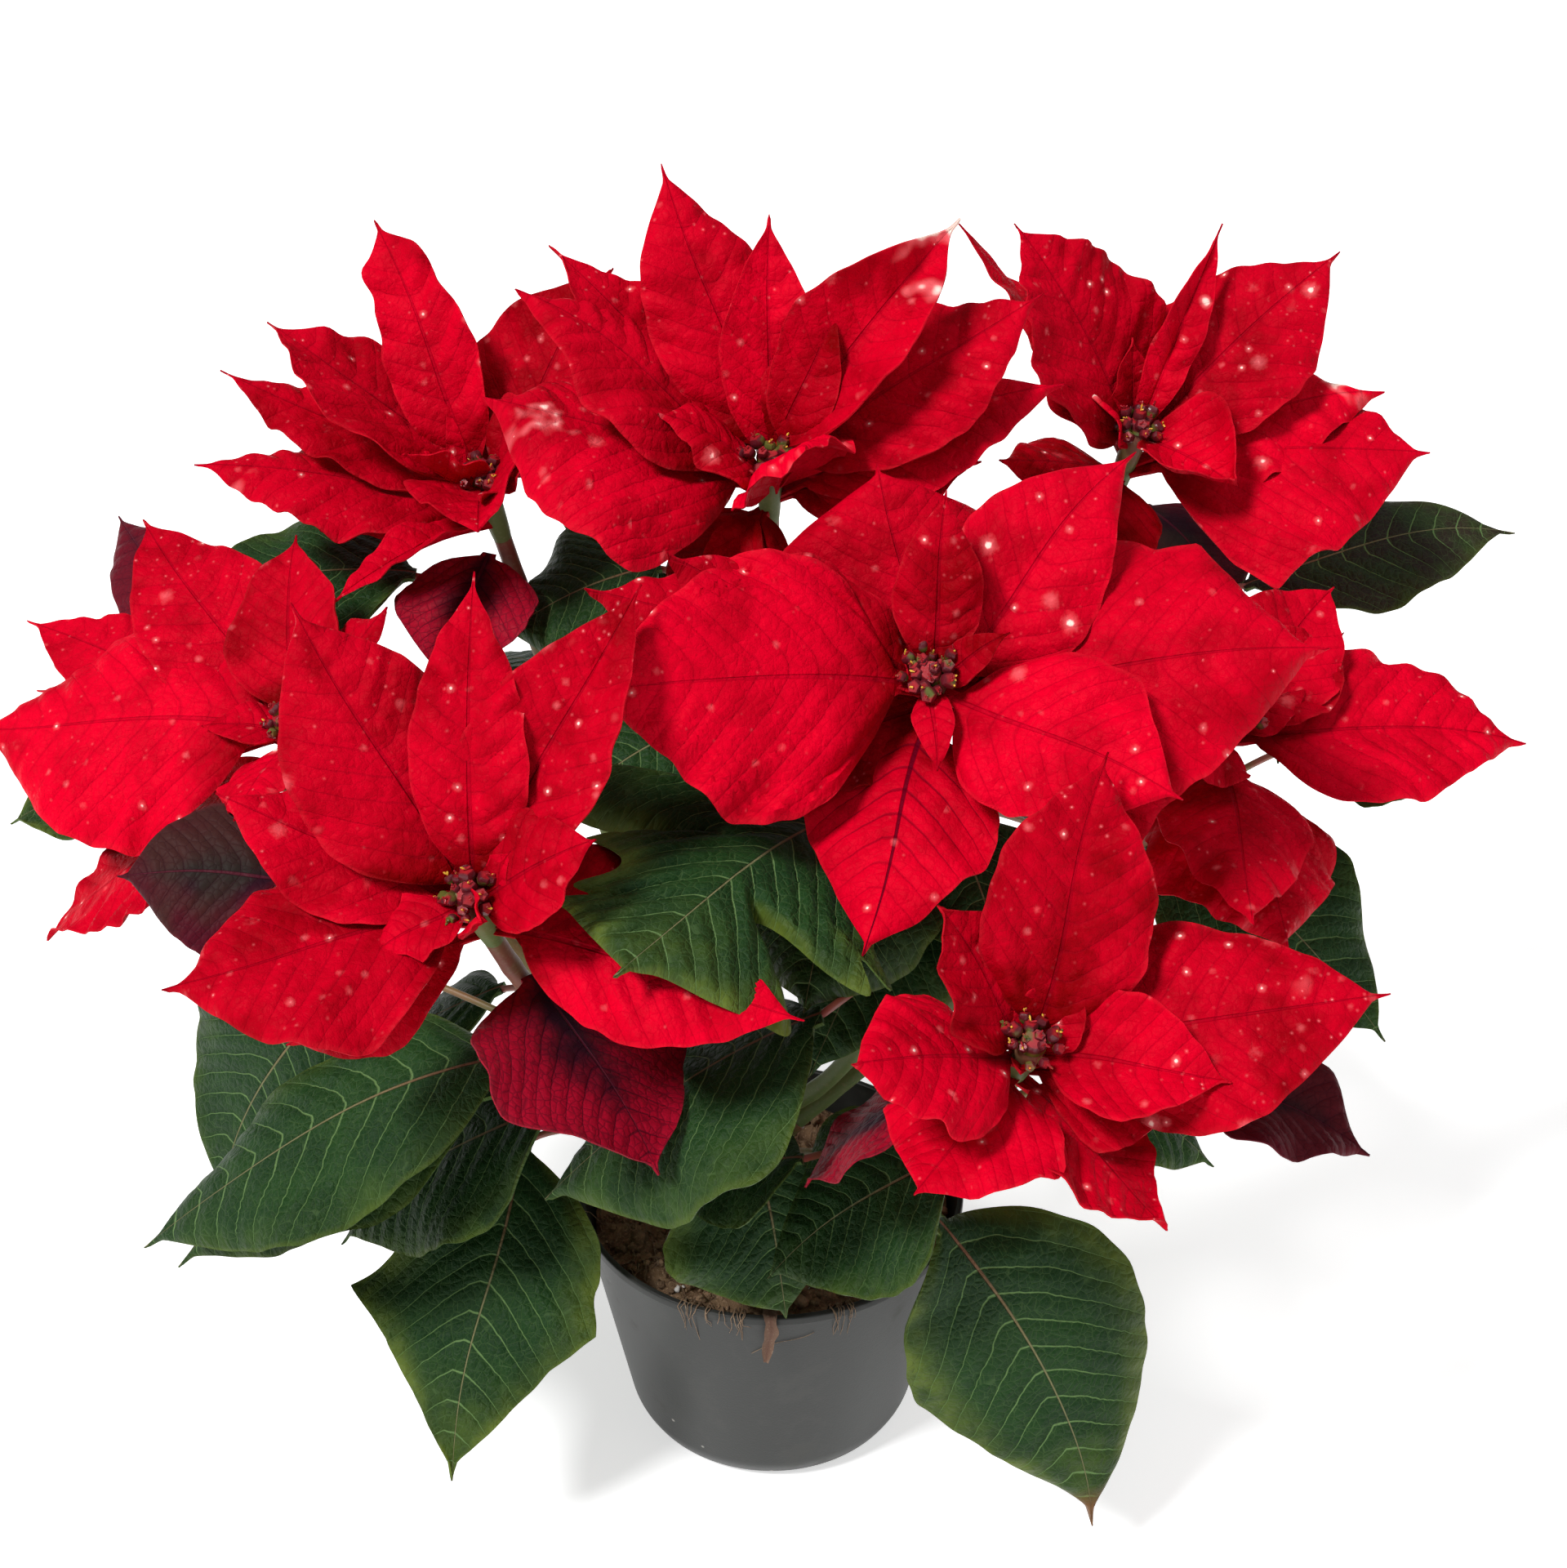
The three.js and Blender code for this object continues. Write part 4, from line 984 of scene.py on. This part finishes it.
def peat_look(g, colours):
    """Dark brown crumbs, some paler."""
    grain = g.placed("Fine grain", Scale=900.0, Coarse_scale=170.0)
    base = g.mix(g.step(grain["Coarse"], 0.35, 0.65), colours.peat, (0.27, 0.17, 0.095))
    base = g.mix(g.step(grain["Fine"], 0.52, 0.7), base, (0.4, 0.27, 0.16))
    base = g.mix(g.times(g.value("tone"), 0.7), base, (0.42, 0.28, 0.17))
    return dict(Base_Color=base, Normal=g.bump(grain["Height"], 0.002, 1.0))


def perlite_look(g, colours):
    """White porous grains."""
    grain = g.placed("Fine grain", Scale=1400.0, Coarse_scale=500.0)
    return dict(Base_Color=g.mix(grain["Coarse"], (0.55, 0.52, 0.47), (0.9, 0.89, 0.86)),
                Normal=g.bump(grain["Height"], 0.0008, 0.8))


def dry_leaf_look(g, colours):
    """Straw brown, darker along the middle of a dry leaf."""
    grain = g.placed("Fine grain", Scale=1100.0, Coarse_scale=140.0)
    base = g.mix(grain["Coarse"], (0.12, 0.07, 0.04), (0.3, 0.2, 0.12))
    base = g.mix(g.step(grain["Fine"], 0.55, 0.7), base, (0.42, 0.32, 0.22))
    base = g.mix(g.times(g.value("tone"), 0.85), base, (0.085, 0.032, 0.02))
    return dict(Base_Color=base, Normal=g.bump(grain["Height"], 0.001, 0.8))


def floor_paint_look(g, colours):
    """Near white and all but even."""
    grain = g.placed("Fine grain", Scale=60.0, Coarse_scale=3.0)
    return dict(Base_Color=g.mix(grain["Coarse"], colours.floor, tuple(0.985 * c for c in colours.floor)))


# Each material: its name, the function that gives what feeds its shader, and the shader's even values.
MATERIALS = {
    "bract": ("Bract", bract_look, dict(Specular_IOR_Level=0.02)),
    "leaf": ("Green leaf", green_leaf_look, dict(Specular_IOR_Level=0.1)),
    "dark": ("Turning leaf", turning_leaf_look, dict(Roughness=0.5, Specular_IOR_Level=0.04)),
    "stem": ("Stem", stem_look, dict(Roughness=0.5, Specular_IOR_Level=0.35)),
    "stalk": ("Leaf stalk", leaf_stalk_look, dict(Roughness=0.45)),
    "bark": ("Bark", bark_look, dict(Roughness=0.8)),
    "bud": ("Bud", bud_look, dict(Roughness=0.34, Specular_IOR_Level=0.4, Coat_Weight=0.15)),
    "pot": ("Pot plastic", pot_plastic_look, dict(Specular_IOR_Level=0.25)),
    "peat": ("Peat", peat_look, dict(Roughness=0.95, Specular_IOR_Level=0.2)),
    "perlite": ("Perlite", perlite_look, dict(Roughness=0.85)),
    "dry": ("Dry leaf", dry_leaf_look, dict(Roughness=0.85)),
    # The floor glows a little: painted light that lifts the shadows on it and lights the plant and the pot from
    # below.
    "floor": ("Floor", floor_paint_look, dict(Roughness=0.9, Specular_IOR_Level=0.1, Emission_Strength=0.6)),
}


def material(key):
    """A material of the plant, made on its first use, with its even values on the shader's own sockets."""
    found = [item for item in bpy.data.materials if item.get("plant_key") == key]
    if found:
        return found[0]
    name, look, even = MATERIALS[key]
    made = bpy.data.materials.new(name)
    made["plant_key"] = key
    made.use_nodes = True
    graph = Graph(made.node_tree)
    shader = made.node_tree.nodes["Principled BSDF"]
    for socket, value in (even | look(graph, bpy.context.scene.poinsettia_colours)).items():
        graph.put(shader.inputs[socket.replace("_", " ")], value)
    return made


def finish_piece(piece, node):
    """Rides the piece on the plant's one body, and lets it stand for its node."""
    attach(piece, "root")
    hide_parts(node)


# ---- Operators, one for each group of like pieces ----


def bract_depth(row, share):
    """How far below its bloom's centre a bract starts: 20 mm for the lowest and 4 mm for the uppermost,
    and deep enough for a steep one to come out of the stem's top."""
    return max(20 - 16 * share, 8.5 * math.tan(math.radians(row["lift"])) + 1.5)


class PLANT_OT_bracts(bpy.types.Operator):
    """Build the red bracts of every bloom, with the top of the stem that carries them"""

    bl_idname = "plant.bracts"
    bl_label = "Bracts"

    def execute(self, context):
        settings = context.scene.poinsettia_sizes
        for index, (name, bloom) in enumerate(BLOOMS.items()):
            rng = np.random.default_rng(100 + index)
            skin = Skin()
            turn, centre = lean_of(bloom), np.array(bloom["at"], float)
            last = len(bloom["bracts"]) - 1
            rows = [(row, i / last) for i, row in enumerate(bloom["bracts"])]
            rows += [(row, row["look"]["share"]) for row in bloom["small"]]
            for row, share in rows:
                root = np.array([0, 0, -bract_depth(row, share)])
                blade(skin, row, root, settings, rng, arch=0.06, fold=-8 + 20 * share, foot_share=0.12,
                      begin=1.8 / row["length"], thickness=settings.bract_thickness / MM,
                      place=(turn, centre))
            t = np.linspace(0, 1, 14)
            line = centre + (t - 1)[:, None] * STEM["hub"] * turn[:, 2]
            radii = STEM["radius"] + 1.3 * t**0.7 - 1.4 * np.clip((t - 0.9) / 0.1, 0, 1) ** 2
            tube(skin, line, radii, 16, 1, seed=index)
            piece = skin.build("bracts_" + name + "_blades", ("bract", "stem"))
            finish_piece(piece, "bracts_" + name)
        return {"FINISHED"}


class PLANT_OT_shoots(bpy.types.Operator):
    """Build the stems with their green leaves on stalks"""

    bl_idname = "plant.shoots"
    bl_label = "Leafy shoots"

    def execute(self, context):
        settings = context.scene.poinsettia_sizes
        drop, highest = 22, 0.85
        for index, (name, bloom) in enumerate(BLOOMS.items()):
            rng = np.random.default_rng(200 + index)
            skin, line = Skin(), shoot_line(bloom)
            for row in LEAVES[name]:
                add_leaf(skin, line, row, drop, highest, settings, rng, 2)
            starts = [stalk_start(line, row["foot"], drop, highest) for row in LEAVES[name]]
            fine = shoot_line(bloom, 90)
            swell = sum(0.7 * np.exp(-(np.linalg.norm(fine - start, axis=1) / 3.5) ** 2) for start in starts)
            scars = 0.25 * np.sin(np.linspace(0, 26, 90)) ** 8
            tube(skin, fine, STEM["radius"] + swell + scars, 14, 1, seed=index)
            piece = skin.build("shoot_" + name + "_leaves", ("leaf", "stem", "stalk"))
            finish_piece(piece, "shoot_" + name)
        return {"FINISHED"}


class PLANT_OT_dark_leaves(bpy.types.Operator):
    """Build the dark maroon leaves just under the blooms"""

    bl_idname = "plant.dark_leaves"
    bl_label = "Dark leaves"

    def execute(self, context):
        settings = context.scene.poinsettia_sizes
        for index, (name, (shoot, row)) in enumerate(DARK_LEAVES.items()):
            skin, rng = Skin(), np.random.default_rng(300 + index)
            add_leaf(skin, shoot_line(BLOOMS[shoot]), row, 8, 0.93, settings, rng, 1)
            piece = skin.build("dark_leaf_" + name + "_blade", ("dark", "stalk"))
            finish_piece(piece, "dark_leaf_" + name)
        return {"FINISHED"}


def add_bud(skin, foot, axis, size, turn, centre, rng):
    """Adds a bud: rings of radius 0.5 + 1.65 sin^0.85 of 0.86 pi t, with five lobes that grow towards its
    lips, and three small bits that stand out of them."""
    rings, sides = 11, 10
    t = np.linspace(0, 1, rings)[:, None]
    angle = (2 * np.pi * np.arange(sides) / sides)[None, :]
    body = 0.5 + 1.65 * np.sin(np.pi * np.clip(t * 0.86, 0, 1)) ** 0.85
    radius = size * body * (1 + 0.16 * t**3 * np.cos(5 * angle)) * np.where(t > 0.93, 0.45, 1)
    rise = size * (4.9 * t - 0.5 * np.clip((t - 0.93) / 0.07, 0, 1))
    local = np.stack(np.broadcast_arrays(radius * np.cos(angle), radius * np.sin(angle), rise), -1)
    points = (foot + local @ axis.T) @ turn.T + centre
    along = np.broadcast_to(t, (rings, sides))
    skin.add(points, ring_faces(rings, sides), 0, along=along, seed=rng.uniform(0, 9))
    lips = foot + axis @ np.array([0, 0, size * 4.7])
    for _ in range(3):
        bit = lips + rng.normal(0, 0.55, 3)
        start, end = np.array([lips, bit + axis[:, 2] * 0.9]) @ turn.T + centre
        path = start + (end - start) * np.linspace(0, 1, 4)[:, None]
        yellow = 1.0 if rng.random() < 0.25 else 0.0
        tube(skin, path, np.array([0.18, 0.2, 0.34, 0.16]), 6, 0, along=1.0, special=yellow)


class PLANT_OT_buds(bpy.types.Operator):
    """Build the cluster of small buds in the middle of every bloom"""

    bl_idname = "plant.buds"
    bl_label = "Bud clusters"

    def execute(self, context):
        golden_turn, reach = 2.39996, 6.3
        for index, (name, bloom) in enumerate(BLOOMS.items()):
            rng = np.random.default_rng(400 + index)
            skin = Skin()
            turn, centre = lean_of(bloom), np.array(bloom["at"], float)
            for i in range(bloom["buds"]):
                spread = math.sqrt((i + 0.5) / bloom["buds"])
                azimuth = math.degrees(i * golden_turn) + index * 23 + rng.uniform(-14, 14)
                foot = direction(azimuth, 0) * (reach * spread + rng.uniform(-0.6, 0.6))
                foot = foot + (0, 0, 1.6 - 1.6 * spread + rng.uniform(-1, 1))
                size = rng.uniform(0.6, 1.12)
                level = direction(azimuth + 90 + rng.uniform(-25, 25), 0)
                axis = turn_matrix(level, 50 * spread + rng.uniform(-12, 12))
                add_bud(skin, foot, axis, size, turn, centre, rng)
            t = np.linspace(0, 1, 8)
            line = centre + (0.2 + 3.2 * t)[:, None] * turn[:, 2]
            tube(skin, line, 4.0 - 1.2 * t**2, 16, 0, seed=index)
            finish_piece(skin.build("cyathia_" + name + "_buds", ("bud",)), "cyathia_" + name)
        return {"FINISHED"}


class PLANT_OT_trunk(bpy.types.Operator):
    """Build the woody trunk with a stub for each shoot"""

    bl_idname = "plant.trunk"
    bl_label = "Trunk"

    def execute(self, context):
        skin = Skin()
        t = np.linspace(0, 1, 60)
        height = TRUNK["foot"] + (TRUNK["top"] - TRUNK["foot"]) * t
        line = np.stack([0.25 * np.sin(9 * t), 0.25 * np.cos(7 * t), height], -1)
        radii = TRUNK["foot_radius"] + (TRUNK["top_radius"] - TRUNK["foot_radius"]) * t
        radii = radii + 0.2 * np.sin(35 * t) + 0.12 * np.sin(71 * t)
        radii[-3:] *= (0.9, 0.6, 0.15)
        tube(skin, line, radii, 18, 0)
        for bloom in BLOOMS.values():
            origin, out = fork(bloom)
            steps = np.linspace(0, 1, 10)
            path = origin + (steps * (STEM["stub"] + GAP))[:, None] * out
            tube(skin, path, 3.4 + 0.5 * (1 - steps) ** 2, 14, 1)
        finish_piece(skin.build("trunk_wood", ("bark", "stem")), "trunk")
        return {"FINISHED"}


def turned(profile, sides):
    """The x, y and z of (radius, height) pairs turned about the upright axis."""
    profile = np.asarray(profile, float)
    angle = 2 * np.pi * np.arange(sides) / sides
    r = np.maximum(profile[:, :1], 1e-3)
    return np.broadcast_arrays(r * np.cos(angle), r * np.sin(angle), profile[:, 1:])


def wall_radius(z):
    """The pot's outer radius at a height under the band."""
    return POT["base"] + (POT["lip"] - POT["proud"] - POT["base"]) * z / (POT["height"] - POT["band"])


def rounded(corners, radius, steps):
    """A profile with rounded inner corners: at each, a quadratic curve between points radius away."""
    corners = [np.array(c, float) for c in corners]
    out = [corners[0]]
    t = np.linspace(0, 1, steps)[:, None]
    for before, corner, after in zip(corners, corners[1:], corners[2:]):
        reach = min(radius, 0.4 * np.linalg.norm(before - corner), 0.4 * np.linalg.norm(after - corner))
        a = corner + reach * unit(before - corner)
        b = corner + reach * unit(after - corner)
        out.extend((1 - t) ** 2 * a + 2 * t * (1 - t) * corner + t**2 * b)
    return np.array(out + [corners[-1]])


class PLANT_OT_pot(bpy.types.Operator):
    """Build the tapered nursery pot, with its band and its drainage holes"""

    bl_idname = "plant.pot"
    bl_label = "Pot"

    def execute(self, context):
        top, band, wall, floor = POT["height"], POT["height"] - POT["band"], POT["wall"], POT["floor"]
        foot, lip = POT["foot_height"], POT["lip"]
        corners = [
            (0, 0), *POT["foot"], (wall_radius(foot), foot), (wall_radius(band), band), (lip, band),
            (lip, top), (lip - POT["lip_width"], top), (wall_radius(band) - wall, band),
            (wall_radius(foot) - wall, foot), (POT["foot"][0][0], floor), (0, floor),
        ]
        profile = rounded(corners, 2.6, 7)
        skin, sides = Skin(), context.scene.poinsettia_sizes.pot_sides
        skin.add(np.stack(turned(profile, sides), -1), ring_faces(len(profile), sides))
        pot = skin.build("pot_shell", ("pot",), sharp=40)
        drill = Skin()
        for i in range(POT["holes"]):
            spot = direction(i * 360 / POT["holes"], 0) * POT["hole_circle"]
            line = spot + np.linspace(-1, floor + 1, 3)[:, None] * (0, 0, 1)
            tube(drill, line, POT["hole"], 24)
        cutter = drill.build("pot_drill")
        cut = pot.modifiers.new("holes", "BOOLEAN")
        cut.operation, cut.object, cut.solver = "DIFFERENCE", cutter, "EXACT"
        with context.temp_override(object=pot, active_object=pot, selected_objects=[pot]):
            bpy.ops.object.modifier_apply(modifier="holes")
        bpy.data.objects.remove(cutter)
        finish_piece(pot, "pot")
        return {"FINISHED"}


def soil_height(x, y):
    """The peat's height: a slope up to the front edge, crumbs as two waves, and fine lumps on them."""
    heap = SOIL["heap"] * (x * 0.3 - y) / POT["lip"]
    crumbs = SOIL["grain"] * (np.sin(x * 0.31 + y * 0.17) + np.sin(y * 0.43 - x * 0.22 + 1))
    lumps = 0.5 * np.sin(1.1 * x + 0.6 * y) * np.sin(0.8 * y - 0.9 * x + 2)
    lumps = lumps + 0.35 * np.sin(2.3 * x + 1) * np.sin(2.1 * y)
    return SOIL["level"] + np.maximum(-SOIL["dip"], heap) + crumbs + lumps


def add_crumb(skin, reach, azimuth, size, kind, rng):
    """Adds a crumb on the peat: a squashed ball of 5 by 8 points, each moved in or out at random."""
    t = np.linspace(0.02, 1, 5)[:, None] * np.pi
    angle = (2 * np.pi * np.arange(8) / 8)[None, :]
    radius = size * (1 + rng.uniform(-0.28, 0.28, (5, 8)))
    local = np.stack([radius * np.sin(t) * np.cos(angle), radius * np.sin(t) * np.sin(angle) * 0.8,
                      -radius * np.cos(t) * 0.7], -1)
    turn = turn_matrix(rng.normal(0, 1, 3), rng.uniform(0, 360))
    x, y = direction(azimuth, 0)[:2] * reach
    spot = np.array([x, y, soil_height(x, y) + 0.25 * size])
    skin.add(local @ turn.T + spot, ring_faces(5, 8), kind, tone=rng.uniform(0, 1) ** 2)


def add_fibre(skin, reach, azimuth, length, rng):
    """Adds a root fibre that wanders over the peat and lifts a little from it."""
    start = direction(azimuth, 0)[:2] * reach
    heading = rng.uniform(0, 2 * np.pi) + np.cumsum(rng.normal(0, 0.35, 9))
    path = start + np.cumsum(np.stack([np.cos(heading), np.sin(heading)], -1) * length / 9, axis=0)
    path = path * np.minimum(1, SOIL["fibre_reach"] / np.linalg.norm(path, axis=1, keepdims=True))
    lift = 0.3 + rng.uniform(0, 2.0) * np.sin(np.linspace(0, np.pi, 9))
    line = np.column_stack([path, soil_height(path[:, 0], path[:, 1]) + lift])
    tube(skin, line, rng.uniform(0.1, 0.3), 5, 2)


def add_hanging_root(skin, azimuth, drop, rng):
    """Adds a fine root that comes out of the peat, lies over the rim and hangs down the pot's wall."""
    lip, top = POT["lip"], POT["height"]
    path = np.array([
        (lip - 11, top - 6), (lip - 7, top - 6), (lip - 3, top + 0.6), (lip - 0.3, top + 0.5),
        (lip + 0.5, top - 0.8), (lip + 0.5, top - 3), (lip - 0.2 - 0.12 * drop, top - 3.5 - 0.5 * drop),
        (lip - 0.2 - 0.25 * drop, top - 3.5 - drop),
    ])
    around = np.radians(azimuth + np.cumsum(rng.normal(0, 0.55, len(path))))
    line = np.column_stack([path[:, 0] * np.cos(around), path[:, 0] * np.sin(around), path[:, 1]])
    tube(skin, line, np.linspace(rng.uniform(0.15, 0.32), 0.08, len(line)), 5, 2)


class PLANT_OT_soil(bpy.types.Operator):
    """Build the peat with its loose crumbs, white grains and root fibres"""

    bl_idname = "plant.soil"
    bl_label = "Peat"

    def execute(self, context):
        rng = np.random.default_rng(7)
        clear = POT["wall"] + GAP
        bottom, level, shoulder = POT["floor"] + GAP, SOIL["level"], SOIL["level"] - SOIL["shoulder"]
        edge = wall_radius(SOIL["edge"]) - clear
        profile = [
            (0, bottom), (POT["foot"][0][0] - GAP, bottom),
            (wall_radius(POT["foot_height"]) - clear, POT["foot_height"] + GAP),
            (wall_radius(shoulder) - clear, shoulder),
            *((r, level) for r in np.linspace(edge, TRUNK["foot_radius"] - 0.6, 44)), (0, level),
        ]
        skin, sides = Skin(), 120
        x, y, z = turned(profile, sides)
        z = np.where(z > shoulder + 1, soil_height(x, y), z)
        skin.add(np.stack([x, y, z], -1), ring_faces(len(profile), sides))

        def spot(share):
            """A random place on the peat: how far out, and the azimuth."""
            return edge * math.sqrt(rng.random()) * share, rng.uniform(0, 360)

        for _ in range(context.scene.poinsettia_sizes.crumbs):
            add_crumb(skin, *spot(0.985), rng.gamma(2.2, 0.42) + 0.35, 0, rng)
        for _ in range(SOIL["white_grains"]):
            add_crumb(skin, *spot(0.97), rng.uniform(0.6, 1.5), 1, rng)
        for _ in range(SOIL["fibres"]):
            add_fibre(skin, *spot(0.95), rng.uniform(4, 13), rng)
        for low, high, count in HANGING_ROOTS:
            for _ in range(count):
                add_hanging_root(skin, rng.uniform(low, high), rng.gamma(2, 2.6), rng)

        # One thin fibre sticks to the front of the pot's wall.
        t = np.linspace(0, 1, 14)
        x, z = -6 + 20 * t, 72 + 11 * t + 1.5 * np.sin(5 * t)
        line = np.column_stack([x, -np.sqrt((wall_radius(z) + 0.25) ** 2 - x**2), z])
        tube(skin, line, 0.1, 5, 2)
        finish_piece(skin.build("soil_peat", ("peat", "perlite", "dry"), sharp=180), "soil")
        return {"FINISHED"}


class PLANT_OT_dry_strip(bpy.types.Operator):
    """Build the strip of dry old leaf that hangs over the rim"""

    bl_idname = "plant.dry_strip"
    bl_label = "Dry strip"

    def execute(self, context):
        knots = np.array([(x, -POT["lip"] - out, POT["height"] + up) for x, out, up in STRIP], float)
        run = np.linspace(0, len(knots) - 1, 46)
        path = np.stack([np.interp(run, np.arange(len(knots)), knots[:, k]) for k in range(3)], -1)
        for _ in range(3):
            path[1:-1] = 0.25 * path[:-2] + 0.5 * path[1:-1] + 0.25 * path[2:]
        v = np.linspace(-1, 1, 9)
        share = run / run[-1]
        half = 2.0 * (1 - 0.6 * np.clip((share - 0.8) / 0.2, 0, 1)) * (1 + 0.14 * np.sin(23 * share))
        sideways = np.array([1.0, 0, 0])
        inward = -unit(np.cross(sideways, unit(np.gradient(path, axis=0))))
        curl = 0.45 * (v**2)[None, :] + 0.25 * np.sin(14 * share)[:, None] * v[None, :]
        points = path[:, None] + (half[:, None] * v)[..., None] * sideways + curl[..., None] * inward[:, None]
        face = 0.35 * inward[:, None]
        ring = np.concatenate([points + face, (points - face)[:, ::-1]], axis=1)
        middle = np.exp(-((np.concatenate([v, v[::-1]]) / 0.35) ** 2))
        tone = np.broadcast_to(0.7 + 0.3 * middle, ring.shape[:2])
        skin = Skin()
        skin.add(ring, ring_faces(len(path), 18)[:, ::-1], tone=tone)
        finish_piece(skin.build("dry_strip_leaf", ("dry",)), "dry_strip")
        return {"FINISHED"}


# The stage. A lamp: its name, the way to it, how soft it is in degrees, and its strength. The camera:
# metres and degrees, and the lens and sensor in millimetres. The sky shines evenly, and the camera sees
# it brighter.
LAMPS = (("key", (-0.6, -0.5, 1.0), 14, 3.1), ("top", (0.5, -0.1, 1.0), 50, 0.6))
CAMERA = dict(place=(0.0042, -0.640, 0.634), pitch=58.9, lens=56.28, sensor=36)
SKY = dict(shine=0.23, seen=0.75)
FLOOR_REACH = 6000.0


class PLANT_OT_stage(bpy.types.Operator):
    """Set the floor, the soft lights and the camera"""

    bl_idname = "plant.stage"
    bl_label = "Stage"

    def execute(self, context):
        scene = context.scene
        skin = Skin()
        x, y = np.meshgrid([-FLOOR_REACH, FLOOR_REACH], [-FLOOR_REACH, FLOOR_REACH])
        skin.add(np.stack([x, y, np.zeros_like(x)], -1), np.array([[0, 1, 3, 2]]))
        floor = skin.build("floor", ("floor",))
        world = bpy.data.worlds.new("Studio")
        scene.world = world
        world.use_nodes = True
        sky, background = Graph(world.node_tree), world.node_tree.nodes["Background"].inputs
        background["Color"].default_value = (1, 1, 1, 1)
        by_camera = sky.node("LightPath").outputs["Is Camera Ray"]
        sky.put(background["Strength"], sky.math("MULTIPLY_ADD", by_camera, SKY["seen"], SKY["shine"]))
        for name, towards, softness, power in LAMPS:
            light = bpy.data.lights.new(name, "SUN")
            light.energy, light.angle = power, math.radians(softness)
            lamp = bpy.data.objects.new(name, light)
            lamp.rotation_euler = Vector(towards).to_track_quat("Z", "Y").to_euler()
            scene.collection.objects.link(lamp)
        lens = bpy.data.cameras.new("camera")
        lens.lens, lens.sensor_width = CAMERA["lens"], CAMERA["sensor"]
        camera = bpy.data.objects.new("camera", lens)
        camera.location = CAMERA["place"]
        camera.rotation_euler = (math.radians(CAMERA["pitch"]), 0, 0)
        scene.collection.objects.link(camera)
        scene.camera = camera
        scene.view_settings.view_transform = "Standard"
        return {"FINISHED"}


class PLANT_PT_panel(bpy.types.Panel):
    """The poinsettia's operators and settings"""

    bl_idname = "PLANT_PT_panel"
    bl_label = "Poinsettia"
    bl_space_type = "VIEW_3D"
    bl_region_type = "UI"
    bl_category = "Poinsettia"

    def draw(self, context):
        for operator in OPERATORS:
            self.layout.operator(operator.bl_idname)
        for group_name in ("poinsettia_sizes", "poinsettia_colours"):
            settings = getattr(context.scene, group_name)
            box = self.layout.box()
            for key in settings.__annotations__:
                box.prop(settings, key)


OPERATORS = (
    PLANT_OT_stage, PLANT_OT_pot, PLANT_OT_soil, PLANT_OT_dry_strip, PLANT_OT_trunk, PLANT_OT_shoots,
    PLANT_OT_dark_leaves, PLANT_OT_bracts, PLANT_OT_buds,
)
CLASSES = (PoinsettiaSizes, PoinsettiaColours, *OPERATORS, PLANT_PT_panel)


def register():
    for item in CLASSES:
        bpy.utils.register_class(item)
    bpy.types.Scene.poinsettia_sizes = PointerProperty(type=PoinsettiaSizes)
    bpy.types.Scene.poinsettia_colours = PointerProperty(type=PoinsettiaColours)


def unregister():
    del bpy.types.Scene.poinsettia_colours
    del bpy.types.Scene.poinsettia_sizes
    for item in reversed(CLASSES):
        bpy.utils.unregister_class(item)


def main():
    register()
    for operator in OPERATORS:
        module, name = operator.bl_idname.split(".")
        getattr(getattr(bpy.ops, module), name)()


if __name__ == "__main__":
    main()
